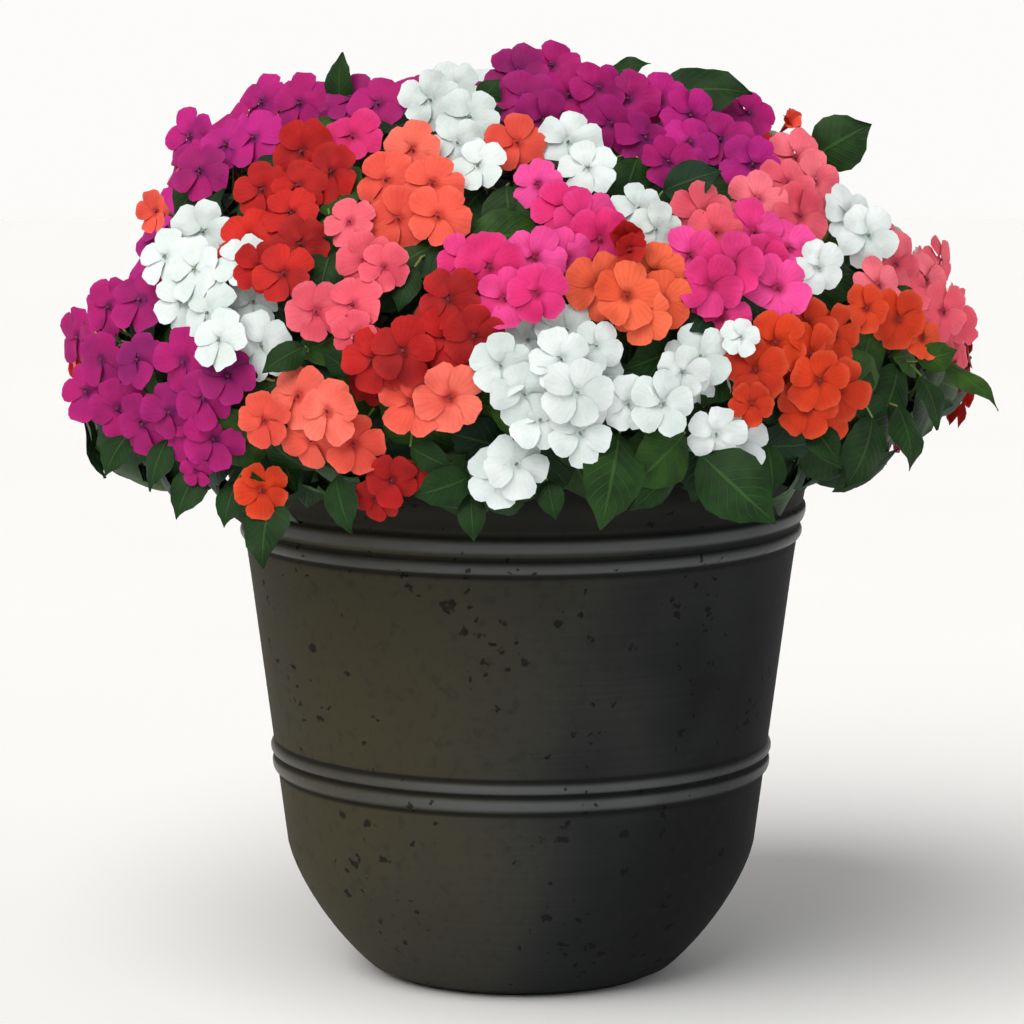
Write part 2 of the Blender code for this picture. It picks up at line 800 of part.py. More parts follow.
def planting_plan(plants):
    """Every head and leaf in the order that they take their space."""
    space = Space(plants)
    heads = [plan_head(i, head, 0.0, space) for i, head in enumerate(FRONT_HEADS)]
    for row, (height, first, last, count) in enumerate(BACK_ROWS):
        for i in range(count):
            azimuth = math.radians(first + (last - first) * i / max(1, count - 1))
            turn = azimuth + math.pi / 2
            level = MOUND_RADIUS * math.sqrt(1.0 - ((height - MOUND_HEIGHT) / mound_half(height)) ** 2)
            px, py = pixel_of(Vector((0.0, -level, height)))
            colour = BACK_COLOURS[(len(heads) * 3) % len(BACK_COLOURS)]
            head = (f"back_{row + 1}_{i + 1}", colour, px, py, *BACK_SPREAD, BACK_BLOOMS)
            heads.append(plan_head(len(heads), head, turn, space))
    return heads, seen_leaves(space) + more_leaves(space)


# Flowers


def rim_spots(radius):
    """Points round a flower's rim: a notch between petals and two shoulders to each petal."""
    spots = []
    for i in range(3 * PETALS):
        angle = math.tau * i / (3 * PETALS)
        share = NOTCH_SHARE if i % 3 == 0 else 1.0
        spots.append(Vector((math.cos(angle) * share, math.sin(angle) * share, face_drop(share))) * radius)
    return spots


def triangle_ring(bm, middle, way, across, radius):
    """Three points round a line, turned by the side that across gives."""
    side = (across - way * across.dot(way)).normalized()
    other = way.cross(side)
    angles = [math.tau * (i + 0.5) / 3 for i in range(3)]
    return [bm.verts.new(middle + (side * math.cos(a) + other * math.sin(a)) * radius) for a in angles]


def make_flower(name, bloom, root, collection, material=None):
    """Five petals as one thin lobed face, lofted behind to a three-sided pedicel.

    Each petal is thickest along its middle, and thins out to its shoulders and the notches.
    """
    place, axes, radius = bloom["place"], bloom["axes"], bloom["radius"]
    bm = bmesh.new()
    heart = bm.verts.new(place)
    rim = [bm.verts.new(place + axes @ spot) for spot in rim_spots(radius)]
    under = list(rim)
    for i in range(1, len(rim), 3):
        middle = (rim[i].co + rim[i + 1].co) / 2
        under[i] = under[i + 1] = bm.verts.new(middle - axes.col[2] * PETAL_THICK)
    neck_place = place - axes.col[2] * NECK_DEPTH
    neck = triangle_ring(bm, neck_place, axes.col[2], axes.col[0], 1.5 * PEDICEL_RADIUS)
    foot = triangle_ring(bm, root, (neck_place - root).normalized(), axes.col[0], PEDICEL_RADIUS)
    for i in range(len(rim)):
        after = (i + 1) % len(rim)
        keel = under[i] if i % 3 else under[after]
        bm.faces.new((heart, rim[i], rim[after]))
        bm.faces.new((rim[i], keel, rim[after]))
        if under[i] is not under[after]:
            bm.faces.new((neck[i // PETALS], under[after], under[i]))
    for i in range(3):
        after = (i + 1) % 3
        bm.faces.new((neck[i], neck[after], under[after * PETALS]))
        bm.faces.new((neck[i], foot[i], foot[after]))
        bm.faces.new((neck[i], foot[after], neck[after]))
    bm.faces.new(foot)
    return object_from(bm, name, collection, material)


def make_head(head, parts, helpers, materials):
    """A head of flowers: pedicels out of a hub, whose stalk ends just clear of its plant."""
    name, hub = "blooms_" + head["name"], head["hub"]
    material = materials[head["colour"]]
    down = (head["seat"] - hub).normalized()
    seat = head["seat"] - down * STALK_GAP
    if len(head["blooms"]) == 1:
        make_flower(name, head["blooms"][0], seat, parts, material)
        return
    bm = bmesh.new()
    bmesh.ops.create_cone(
        bm,
        cap_ends=True,
        segments=HUB_SIDES,
        radius1=HUB_RADIUS,
        radius2=STALK_RADIUS,
        depth=(seat - hub).length,
        matrix=Matrix.LocRotScale((hub + seat) / 2, down.to_track_quat("Z", "Y"), None),
    )
    body = object_from(bm, name, parts, material)
    for i, bloom in enumerate(head["blooms"]):
        aside = bloom["place"] - hub
        aside -= down * aside.dot(down)
        share = min(1.0, aside.length / head["spread"])
        foot = hub + down * FOOT_DEPTH + aside.normalized() * (share * FOOT_SPREAD)
        make_flower(f"{name}_{i}", bloom, foot, helpers)
    fuse(body, helpers)


# Plants


def section(middle, way, across, half_wide, half_thick):
    """Four corners of a flat section square to a way, as wide as across gives."""
    side = (across - way * across.dot(way)).normalized()
    up = side.cross(way)
    corners = ((-1, -1), (1, -1), (1, 1), (-1, 1))
    return [middle + side * (i * half_wide) + up * (j * half_thick) for i, j in corners]


def make_leaf(name, leaf, collection):
    """A thin arched blade, with its root sunk in the core, and a petiole if it stands off the core."""
    base, tip, root = leaf["base"], leaf["tip"], leaf["root"]
    along, across, out = leaf_frame(base, tip, leaf["face"])
    length = (tip - base).length
    rise = (base - root).normalized() if (base - root).length > PETIOLE_RADIUS else along
    rings = [section(root - rise * ROOT_DEPTH, rise, across, PETIOLE_RADIUS, PETIOLE_RADIUS)]
    if rise != along:
        bisector = (rise + along).normalized()
        rings.append(section(base, bisector, across, *PETIOLE_END))
    for share in leaf["stations"]:
        middle = base + along * (share * length) + out * (leaf_arch(share) * length)
        half = leaf["width"] * length * leaf_half_width(share)
        rings.append(section(middle, along, across, half, LEAF_THICK / 2))
    rings.append(section(tip, along, across, 0.0, LEAF_THICK / 2))
    bm = bmesh.new()
    loft(bm, rings)
    bmesh.ops.remove_doubles(bm, verts=bm.verts, dist=0.00001)
    bmesh.ops.triangulate(bm, faces=bm.faces)
    return object_from(bm, name, collection)


def make_plant(plant, leaves, parts, helpers, materials):
    """A plant: its core, the stem that stands in the soil, and its leaves, all as one body."""
    name, place, centre, half, turn, _ = plant
    body = object_from(core_mesh(centre, half, turn), "leafy_plant_" + name, parts, materials["foliage"])
    bm = bmesh.new()
    top = centre.z - STEM_REACH * half[2]
    upright_prism(bm, place, STEM_RADIUS, SOIL_EDGE - STEM_DEPTH, top, STEM_SIDES)
    object_from(bm, "stem_" + name, helpers)
    for i, leaf in enumerate(leaves):
        if leaf["plant"] == name:
            make_leaf(f"leaf_{i}", leaf, helpers)
    fuse(body, helpers)


def main():
    clear_scene()
    parts = new_collection("potted_impatiens")
    helpers = new_collection("helpers")
    materials = make_materials()
    plants = plant_places()
    make_planter(parts, helpers, materials)
    make_soil(parts, helpers, materials, plants)
    heads, leaves = planting_plan(plants)
    for head in heads:
        if head["blooms"]:
            make_head(head, parts, helpers, materials)
    for plant in plants:
        make_plant(plant, leaves, parts, helpers, materials)
    print(len(heads), "heads,", sum(len(head["blooms"]) for head in heads), "flowers,", len(leaves), "leaves")


main()
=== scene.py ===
# %% [markdown]
# # A pot of impatiens in full flower
#
# The real thing is a heavy stoneware planter filled with potting soil. Eight impatiens plants stand in
# it, and they have grown together into one round bush that is covered with flowers.
#
# The construction is already made, as plain solids: the planter, the soil, eight plants and each head
# of flowers. This file gives them their looks. It keeps every piece where the solids have it and makes
# it again with the detail that the eye expects: thin petals, folded leaves, green stems and fired clay.
# Blender's own cube, lamp and camera, which a new file may hold, are cleared away first.

# %% Load the frame
import json
import math
import random

import bmesh
import bpy
import numpy as np
from mathutils import Matrix, Vector, noise
from mathutils.kdtree import KDTree

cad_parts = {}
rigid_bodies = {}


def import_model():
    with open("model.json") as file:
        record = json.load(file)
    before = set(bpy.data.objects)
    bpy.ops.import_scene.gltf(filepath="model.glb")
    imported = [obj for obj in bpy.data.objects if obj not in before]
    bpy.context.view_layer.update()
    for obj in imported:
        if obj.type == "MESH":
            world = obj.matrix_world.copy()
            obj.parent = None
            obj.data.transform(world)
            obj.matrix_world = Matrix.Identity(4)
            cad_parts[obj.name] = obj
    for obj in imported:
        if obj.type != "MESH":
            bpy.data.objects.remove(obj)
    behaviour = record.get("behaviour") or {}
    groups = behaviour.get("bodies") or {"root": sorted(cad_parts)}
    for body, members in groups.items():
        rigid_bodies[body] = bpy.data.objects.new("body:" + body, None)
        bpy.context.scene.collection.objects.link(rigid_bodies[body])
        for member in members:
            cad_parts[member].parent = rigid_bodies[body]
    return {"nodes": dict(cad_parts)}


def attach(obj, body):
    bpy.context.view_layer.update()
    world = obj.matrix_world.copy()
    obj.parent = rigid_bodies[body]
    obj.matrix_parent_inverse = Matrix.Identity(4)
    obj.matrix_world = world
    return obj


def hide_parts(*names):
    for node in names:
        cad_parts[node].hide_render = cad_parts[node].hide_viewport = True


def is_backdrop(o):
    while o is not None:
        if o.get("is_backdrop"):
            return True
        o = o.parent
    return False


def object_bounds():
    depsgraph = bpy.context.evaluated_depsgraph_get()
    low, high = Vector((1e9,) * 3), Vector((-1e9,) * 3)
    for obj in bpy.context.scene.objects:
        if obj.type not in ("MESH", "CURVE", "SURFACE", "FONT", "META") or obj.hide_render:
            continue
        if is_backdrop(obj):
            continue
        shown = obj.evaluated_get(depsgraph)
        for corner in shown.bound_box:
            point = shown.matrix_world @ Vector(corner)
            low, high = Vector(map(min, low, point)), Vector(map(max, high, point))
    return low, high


for leftover in list(bpy.data.objects):
    bpy.data.objects.remove(leftover)
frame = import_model()
solid_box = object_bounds()
heads = sorted(name for name in frame["nodes"] if name.startswith("blooms_"))
plants = sorted(name for name in frame["nodes"] if name.startswith("leafy_plant_"))
print("frame:", len(frame["nodes"]), "nodes,", len(heads), "heads of flowers,", len(plants), "plants")

# %% [markdown]
# ## Where the camera stands
#
# The picture was taken with a long lens from a little above the pot's rim, so the pot hardly narrows
# downwards and its lip shows as a flat oval. A pixel of the picture is 0.75 mm at the pot's axis. The
# camera looks at one point of that axis, and a small shift puts that point on its own pixel.

# %% Camera
EYE = Vector((0.0, -3.6, 0.857))
AIM = Vector((0.0, 0.0, 0.33))
AIM_PIXEL = (521, 533)
PIXEL = 0.00075
PHOTO_SIDE = 1024
SENSOR_WIDTH = 36.0

view_way = (AIM - EYE).normalized()
view_right = Vector((1.0, 0.0, 0.0))
view_up = view_right.cross(view_way)
focal_pixels = (AIM - EYE).length / PIXEL

lens = bpy.data.cameras.new("camera")
lens.sensor_width = SENSOR_WIDTH
lens.lens = SENSOR_WIDTH * focal_pixels / PHOTO_SIDE
lens.shift_x = (PHOTO_SIDE / 2 - AIM_PIXEL[0]) / PHOTO_SIDE
lens.shift_y = (AIM_PIXEL[1] - PHOTO_SIDE / 2) / PHOTO_SIDE
camera = bpy.data.objects.new("camera", lens)
camera.location = EYE
camera.rotation_euler = view_way.to_track_quat("-Z", "Y").to_euler()
bpy.context.scene.collection.objects.link(camera)
bpy.context.scene.camera = camera
print(f"camera: {lens.lens:.1f} mm lens, {(AIM - EYE).length:.2f} m from the pot")

# %% [markdown]
# ## The shape of the bush
#
# A well grown bush is a dome, and below its widest line it tucks back in over the pot's lip. The dome
# could be sculpted, but two half ellipsoids that share a level say all of that with four numbers. Every
# flower and leaf is placed against this dome, at a depth of its own, so the bush keeps its round outline
# from every side. The dome itself is never made: it is only measured.

# %% Dome
DOME_LEVEL = 0.460
DOME_RADIUS = 0.347
DOME_RISE = 0.2375
DOME_DROP = 0.190


def dome_half(height):
    """The half height of the dome's upper or lower part."""
    return DOME_RISE if height >= DOME_LEVEL else DOME_DROP


def dome_normal(point):
    """The way straight out of the dome at a point."""
    across = DOME_RADIUS**2
    rise = (point.z - DOME_LEVEL) / dome_half(point.z) ** 2
    return Vector((point.x / across, point.y / across, rise)).normalized()


def dome_point(azimuth, share):
    """The dome's point at an azimuth and a height share: 1 is the top, 0 the level and -1 the bottom."""
    radius = DOME_RADIUS * math.sqrt(1.0 - share * share)
    half = DOME_RISE if share >= 0.0 else DOME_DROP
    return Vector((radius * math.cos(azimuth), radius * math.sin(azimuth), DOME_LEVEL + half * share))


print("dome: top at", round(DOME_LEVEL + DOME_RISE, 3), "m, widest", 2 * DOME_RADIUS, "m")

# %% [markdown]
# The picture says where a flower is across and up, but not how deep. A line from the eye through the
# flower's pixel meets the dome at one near point, and that is its place. The sums squash space until
# the dome is a ball with a radius of 1, since a line and a ball are easy to meet.

# %% From pixels to the dome
def sight(px, py):
    """The way from the eye through a pixel of the picture."""
    aside = view_right * (px - AIM_PIXEL[0]) + view_up * (AIM_PIXEL[1] - py)
    return (view_way * focal_pixels + aside).normalized()


def pixel_of(point):
    """The pixel of the picture that shows a point."""
    away = point - EYE
    depth = away.dot(view_way)
    return (
        AIM_PIXEL[0] + focal_pixels * away.dot(view_right) / depth,
        AIM_PIXEL[1] - focal_pixels * away.dot(view_up) / depth,
    )


def on_dome(px, py):
    """The dome's point that a pixel shows, or the nearest one for a pixel just outside it."""
    way = sight(px, py)
    centre = Vector((0.0, 0.0, DOME_LEVEL))
    for half in (DOME_RISE, DOME_DROP):
        squash = Vector((1 / DOME_RADIUS, 1 / DOME_RADIUS, 1 / half))
        start = (EYE - centre) * squash
        step = way * squash
        nearest = -start.dot(step) / step.length_squared
        beyond = start + step * nearest
        inside = max(0.0, 1.0 - beyond.length_squared)
        point = EYE + way * (nearest - math.sqrt(inside / step.length_squared))
        if dome_half(point.z) == half:
            break
    if inside == 0.0:
        point = centre + (point - centre) / beyond.length
    return point


print("the aim's pixel meets the dome at", [round(value, 3) for value in on_dome(*AIM_PIXEL)])

# %% [markdown]
# Flowers turn to the light, and a leaf shows its face to it as well. A flower that faced straight out
# of the dome would show only its edge on the crown, where the picture shows open faces. So each one
# leans towards the level, and those on the crown lean to the front.

# %% Which way a flower faces
CROWN_FACING = 0.16
CROWN_BACK = 0.12
LEVEL_SHARE = 0.8


def facing_out(point):
    """The way a flower faces: out of the dome, and more level than the dome's own slope.

    The level part points away from the axis, and on the crown away from a line behind it, so that the
    flowers of the crown look to the front, as in the picture.
    """
    behind = Vector((0.0, CROWN_FACING if point.y < CROWN_BACK else 0.0, 0.0))
    level = point - behind
    level.z = 0.0
    return (dome_normal(point) + level.normalized() * LEVEL_SHARE).normalized()


crown_way = facing_out(dome_point(0.0, 1.0))
print("at the top a flower leans", round(math.degrees(crown_way.angle(Vector((0, 0, 1))))), "degrees")

# %% [markdown]
# No real bush is an exact dome: this one is cut in at its upper left and upper right. Two lines of
# pixels, along its top and along its lower edge, say where the picture's outline runs. Where the dome
# stands out past the top line its whole surface moves in, with all the flowers and leaves on it. A
# margin leaves room for the petals, which reach past their heart. A leaf that would hang below the
# lower line is left out, and so is a flower.

# %% Outline
TOP_LINE = (
    (58, 345), (80, 290), (130, 272), (145, 205), (165, 138), (185, 122), (235, 96), (300, 80), (380, 76),
    (440, 76), (500, 68), (540, 52), (580, 60), (660, 70), (740, 84), (770, 112), (800, 135), (822, 165),
    (835, 195), (880, 206), (900, 232), (940, 248), (965, 300), (985, 355), (992, 385),
)
LOWER_LINE = (
    (58, 365), (80, 415), (100, 478), (160, 492), (200, 505), (225, 526), (262, 540), (340, 520),
    (480, 512), (640, 505), (780, 508), (805, 490), (822, 470), (845, 490), (880, 482), (900, 462),
    (925, 445), (940, 410), (992, 388),
)
PULL = 0.003
MOST_PULLS = 30
SIDE_MARGIN = 16
CROWN_MARGIN = 23
CROWN_FROM = 0.60


def too_low(point):
    """Whether a point is below the lower line."""
    px, py = pixel_of(point)
    return py > np.interp(px, *zip(*LOWER_LINE))


def settled(point):
    """The way that the dome's surface at a point moves straight in to be within the top line."""
    inward = -dome_normal(point) * PULL
    margin = CROWN_MARGIN if point.z > CROWN_FROM else SIDE_MARGIN
    for step in range(MOST_PULLS):
        px, py = pixel_of(point + inward * step)
        between_ends = TOP_LINE[0][0] + SIDE_MARGIN < px < TOP_LINE[-1][0] - SIDE_MARGIN
        line = max(np.interp(px + aside, *zip(*TOP_LINE)) for aside in (-SIDE_MARGIN, 0, SIDE_MARGIN))
        if between_ends and py > line + margin:
            break
    return inward * step


print("the outline is", TOP_LINE[-1][0] - TOP_LINE[0][0], "pixels wide")

# %% [markdown]
# ## Many small shapes, one piece
#
# A bush has thousands of petals and leaves. An object for each, or a particle system, would be slow and
# hard to hand on. So the shapes of one plant or one head are laid on a heap, and the heap becomes a
# single mesh. Each point also keeps its grain: how far across and how far along its petal or leaf it
# lies, and a tint for the whole petal or leaf. The finishes read the grain to draw veins and to vary
# the colour.

# %% Heap
SHARP_FROM = math.radians(70)


class Heap:
    """Shapes laid together: points, faces, the finish of each face and the grain of each point."""

    def __init__(self):
        self.points, self.grain, self.faces, self.finish = [], [], [], []
        self.count = 0

    def lay(self, points, faces, grain, finish=0):
        """Adds one shape. Its faces are groups: each group has faces with the same number of corners."""
        self.points.append(points)
        self.grain.append(grain)
        for group in faces:
            moved = (group + self.count).tolist()
            self.faces.extend(moved)
            self.finish.extend([finish] * len(moved))
        self.count += len(points)

    def make(self, name, finishes):
        """Turns the heap into one object. Edges sharper than a petal's or leaf's own bend stay sharp."""
        mesh = bpy.data.meshes.new(name)
        mesh.from_pydata(np.concatenate(self.points).tolist(), [], self.faces)
        mesh.polygons.foreach_set("material_index", self.finish)
        mesh.polygons.foreach_set("use_smooth", [True] * len(self.faces))
        grain = mesh.attributes.new("grain", "FLOAT_VECTOR", "POINT")
        grain.data.foreach_set("vector", np.concatenate(self.grain).astype(np.float32).ravel())
        for finish in finishes:
            mesh.materials.append(finish)
        mesh.set_sharp_from_angle(angle=SHARP_FROM)
        obj = bpy.data.objects.new(name, mesh)
        bpy.context.scene.collection.objects.link(obj)
        return obj


print("edges stay sharp from", round(math.degrees(SHARP_FROM)), "degrees")

# %% [markdown]
# A finished heap is a piece. It moves with a body, here always the root, and it stands for its solids,
# which are hidden.

# %% Pieces
def triangles_of(obj):
    """How many triangles a piece has."""
    return sum(len(face.vertices) - 2 for face in obj.data.polygons)


def as_piece(obj, slot, *nodes):
    """Lets a finished piece stand for its solids, with the root as its body. The slot is not used."""
    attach(obj, "root")
    if nodes:
        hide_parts(*nodes)
    return obj


print("the solid planter has", triangles_of(frame["nodes"]["planter"]), "triangles")

# %% [markdown]
# Stems, leaf stalks and flower stalks are all one shape: a soft round rod along a bent path. A curve
# object with a bevel would do the same, but the rods have to lie on the heap with the other shapes. The
# rod is closed at both ends and may grow thinner on its way.

# %% Rods
def bent_path(start, end, leave, arrive, steps):
    """Points on a smooth bend that leaves along one way and arrives along another."""
    share = np.linspace(0.0, 1.0, steps + 1)[:, None]
    a, b, c, d = (np.array(p) for p in (start, start + leave, end - arrive, end))
    left = 1.0 - share
    return a * left**3 + 3 * b * left**2 * share + 3 * c * left * share**2 + d * share**3


def rod(path, thick, thin, sides, tint):
    """A closed rod along a path: its points, faces and grain."""
    ways = np.gradient(path, axis=0)
    ways /= np.linalg.norm(ways, axis=1)[:, None]
    helper = np.array((0.3, 0.9, 0.2)) if abs(ways[0][2]) > 0.9 else np.array((0.0, 0.0, 1.0))
    side = np.cross(ways, helper)
    side /= np.linalg.norm(side, axis=1)[:, None]
    other = np.cross(ways, side)
    turns = np.arange(sides) * math.tau / sides
    radii = np.linspace(thick, thin, len(path))[:, None, None]
    rings = path[:, None] + radii * (
        side[:, None] * np.cos(turns)[None, :, None] + other[:, None] * np.sin(turns)[None, :, None]
    )
    points = np.concatenate((rings.reshape(-1, 3), path[:1], path[-1:]))
    last = len(path) * sides
    here = np.arange(sides)
    after = (here + 1) % sides
    walls = [
        np.stack((low + here, low + after, low + sides + after, low + sides + here), 1)
        for low in range(0, last - sides, sides)
    ]
    ends = np.concatenate((
        np.stack((np.full(sides, last), after, here), 1),
        np.stack((np.full(sides, last + 1), last - sides + here, last - sides + after), 1),
    ))
    grain = np.zeros((len(points), 3))
    grain[:last, 1] = np.repeat(np.linspace(0.0, 1.0, len(path)), sides)
    grain[last + 1, 1] = 1.0
    grain[:, 2] = tint
    return points, [np.concatenate(walls), ends], grain


trial_path = bent_path(Vector(), Vector((0, 0, 1)), Vector((0, 0, 0.3)), Vector((0, 0, 0.3)), 6)
print("a rod of 6 steps and 6 sides has", len(rod(trial_path, 1, 1, 6, 0)[0]), "points")

# %% [markdown]
# ## Finishes that are painted by rules
#
# Nothing here is a photograph of a surface. A finish starts as one plain shader, and small nodes that
# make noise, bands and spots mix its colours and raise its grain. The cell below holds the few steps
# that every finish uses.

# %% Painting steps
class Finish:
    """A material with one shader, and short ways to add what drives its colour and its relief."""

    def __init__(self, name, **constants):
        self.material = bpy.data.materials.new(name)
        self.material.use_nodes = True
        self.tree = self.material.node_tree
        self.shader = self.tree.nodes["Principled BSDF"]
        for socket, value in constants.items():
            self.shader.inputs[socket.replace("_", " ")].default_value = value

    def add(self, kind, inputs=(), **settings):
        """A new node. An input may be a fixed value or another node's output."""
        node = self.tree.nodes.new("ShaderNode" + kind)
        for key, value in settings.items():
            setattr(node, key, value)
        for socket, value in dict(inputs).items():
            if hasattr(value, "is_output"):
                self.tree.links.new(value, node.inputs[socket])
            else:
                node.inputs[socket].default_value = value
        return node

    def math(self, operation, *values):
        """A sum of one or two values, each fixed or made by other nodes."""
        return self.add("Math", dict(enumerate(values)), operation=operation).outputs[0]

    def place(self, stretch=(1.0, 1.0, 1.0)):
        """The point being painted, in metres, stretched to draw the pattern out along an axis."""
        where = self.add("NewGeometry").outputs["Position"]
        return self.add("VectorMath", {0: where, 1: stretch}, operation="MULTIPLY").outputs[0]

    def cloud(self, scale, detail=3.0, stretch=(1.0, 1.0, 1.0)):
        """Soft noise from 0 to 1, with that many clouds to the metre."""
        settings = {"Vector": self.place(stretch), "Scale": scale, "Detail": detail}
        return self.add("TexNoise", settings).outputs[0]

    def between(self, value, low, high, start=0.0, end=1.0):
        """Brings a value from one range to another, smoothly and no further."""
        limits = {0: value, 1: low, 2: high, 3: start, 4: end}
        return self.add("MapRange", limits, interpolation_type="SMOOTHSTEP").outputs[0]

    def mix(self, share, first, second):
        """A colour between two colours, which may be fixed or made by other nodes."""
        node = self.add("Mix", data_type="RGBA")
        for socket, value in ((0, share), (6, first), (7, second)):
            if hasattr(value, "is_output"):
                self.tree.links.new(value, node.inputs[socket])
            else:
                node.inputs[socket].default_value = (*value, 1.0) if socket else value
        return node.outputs[2]

    def grain(self):
        """How far across, how far along and the tint, from the piece's own grain."""
        vector = self.add("Attribute", attribute_name="grain").outputs["Vector"]
        parts = self.add("SeparateXYZ", {0: vector}).outputs
        return parts[0], parts[1], parts[2]

    def colour(self, colour):
        """Gives the shader its colour."""
        self.tree.links.new(colour, self.shader.inputs["Base Color"])

    def rough(self, value):
        """Gives the shader a roughness that changes from place to place."""
        self.tree.links.new(value, self.shader.inputs["Roughness"])

    def relief(self, height, depth, strength=1.0):
        """Raises the surface where height is 1, by a depth in metres."""
        bump = self.add("Bump", {"Height": height, "Distance": depth, "Strength": strength})
        self.tree.links.new(bump.outputs[0], self.shader.inputs["Normal"])


print("painting steps:", ", ".join(step for step in vars(Finish) if not step.startswith("_")))

# %% [markdown]
# ## The planter
#
# The planter is dark stoneware, thrown on a wheel: a round bowl below, a wall that leans out a little
# and flares under a rolled lip, and two pairs of raised beads that the potter's finger left. A cylinder
# could be pushed and scaled into this shape, but turning a profile round the axis repeats what the
# wheel did. First comes the wall's radius at each height, bare and then with its beads and rings.

# %% Planter wall
BASE_RADIUS = 0.1068
BOWL_HEIGHT = 0.102
BOWL_RADIUS = 0.1765
BOWL_SWELL = 1.42
BOWL_ROUND = 1.2
WALL_LEAN = 0.13
FLARE_FROM = 0.29
FLARE = 0.3
# Each bead: the height of its middle, half its own height, and how far it stands out.
BEADS = (
    (0.1585, 0.0058, 0.0034), (0.1705, 0.0042, 0.0030),
    (0.3340, 0.0042, 0.0030), (0.3495, 0.0066, 0.0032),
)
GROOVES = (0.1513, 0.1653, 0.1762, 0.3282, 0.3405, 0.3575)
GROOVE_HALF = 0.0017
GROOVE_DEEP = 0.0014
RING_PROUD = 0.00010
RINGS_TO_METRE = 260.0


def wall_radius(height):
    """Outer radius of the bare wall."""
    if height < BOWL_HEIGHT:
        share = 1.0 - (1.0 - height / BOWL_HEIGHT) ** BOWL_SWELL
        return BASE_RADIUS + (BOWL_RADIUS - BASE_RADIUS) * share ** (1.0 / BOWL_ROUND)
    return BOWL_RADIUS + WALL_LEAN * (height - BOWL_HEIGHT) + FLARE * max(0.0, height - FLARE_FROM) ** 2


def thrown_radius(height):
    """The wall with its beads and throwing rings."""
    radius = wall_radius(height)
    for middle, half, proud in BEADS:
        off = (height - middle) / half
        if abs(off) < 1.0:
            radius += proud * math.sqrt(1.0 - off * off)
    for groove in GROOVES:
        off = (height - groove) / GROOVE_HALF
        if abs(off) < 1.0:
            radius -= GROOVE_DEEP * (1.0 - off * off)
    return radius + RING_PROUD * noise.noise(Vector((0.0, 0.0, height * RINGS_TO_METRE)))


print("wall: radius", round(wall_radius(BOWL_HEIGHT), 4), "m at the top of the bowl")

# %% [markdown]
# The profile runs from the middle of the floor up the inside, over the rolled lip and down the outside.
# It is dense on the outside, because the beads and the fine throwing rings are real relief that catches
# the light along the wall, and coarse on the inside, which the soil hides.

# %% Planter profile
WALL = 0.010
FLOOR = 0.016
LIP_HEIGHT = 0.400
LIP_RADIUS = 0.2205
LIP_INSIDE = 0.206
LIP_LOW = 0.374
INSIDE_CORNER = 0.006
INSIDE_LEVELS = np.linspace(0.036, 0.37, 14)
OUTSIDE_LEVELS = np.linspace(LIP_LOW - 0.012, 0.006, 216)


def rounded(corners, radius, steps=5):
    """A profile with each inner corner rounded."""
    path = [corners[0]]
    for before, corner, after in zip(corners, corners[1:], corners[2:]):
        a, b, c = Vector(before), Vector(corner), Vector(after)
        cut = min(radius, (a - b).length / 2, (c - b).length / 2)
        start, end = b + (a - b).normalized() * cut, b + (c - b).normalized() * cut
        for i in range(steps + 1):
            share = i / steps
            path.append(start.lerp(b, share).lerp(b.lerp(end, share), share)[:])
    return path + [corners[-1]]


def planter_profile():
    """From the middle of the floor up the inside, over the lip and down the outside to the base."""
    floor_edge = wall_radius(FLOOR) - WALL - INSIDE_CORNER
    inside = [(0.0, FLOOR), (floor_edge, FLOOR)]
    inside += [(wall_radius(z) - WALL, z) for z in INSIDE_LEVELS]
    inside += [(LIP_INSIDE, 0.382), (LIP_INSIDE, LIP_HEIGHT), (LIP_RADIUS - 0.001, LIP_HEIGHT)]
    inside += [(LIP_RADIUS, LIP_LOW + 0.004), (wall_radius(LIP_LOW - 0.008), LIP_LOW - 0.008)]
    outside = [(thrown_radius(z), z) for z in OUTSIDE_LEVELS]
    base = [(BASE_RADIUS - 0.0005, 0.002), (BASE_RADIUS - 0.004, 0.0), (0.0, 0.0)]
    return rounded(inside, INSIDE_CORNER) + outside + base


profile = planter_profile()
print("profile:", len(profile), "points")

# %% [markdown]
# The spin tool turns the profile in one go and welds its seam. The potter pierced the floor while the
# clay was soft, so that water can leave. Here a drill, made of four short cylinders, is cut away from
# the pot with a Boolean modifier, and the result is kept as a plain mesh.

# %% Turn the planter
WHEEL_STEPS = 150
WELD = 0.00002
DRAIN_HOLES = 4
DRAIN_RADIUS = 0.008
DRAIN_CIRCLE = 0.055
DRILL_LOW = -0.01
DRILL_HIGH = 0.03


def turned(name, profile, steps):
    """Turns a profile of (radius, height) points round the Z axis."""
    bm = bmesh.new()
    line = [bm.verts.new((radius, 0.0, height)) for radius, height in profile]
    edges = [bm.edges.new(pair) for pair in zip(line, line[1:])]
    around = {"axis": (0, 0, 1), "cent": (0, 0, 0), "angle": math.tau}
    bmesh.ops.spin(bm, geom=line + edges, steps=steps, use_merge=True, **around)
    bmesh.ops.remove_doubles(bm, verts=bm.verts, dist=WELD)
    bmesh.ops.recalc_face_normals(bm, faces=bm.faces)
    mesh = bpy.data.meshes.new(name)
    bm.to_mesh(mesh)
    bm.free()
    mesh.polygons.foreach_set("use_smooth", [True] * len(mesh.polygons))
    obj = bpy.data.objects.new(name, mesh)
    bpy.context.scene.collection.objects.link(obj)
    return obj


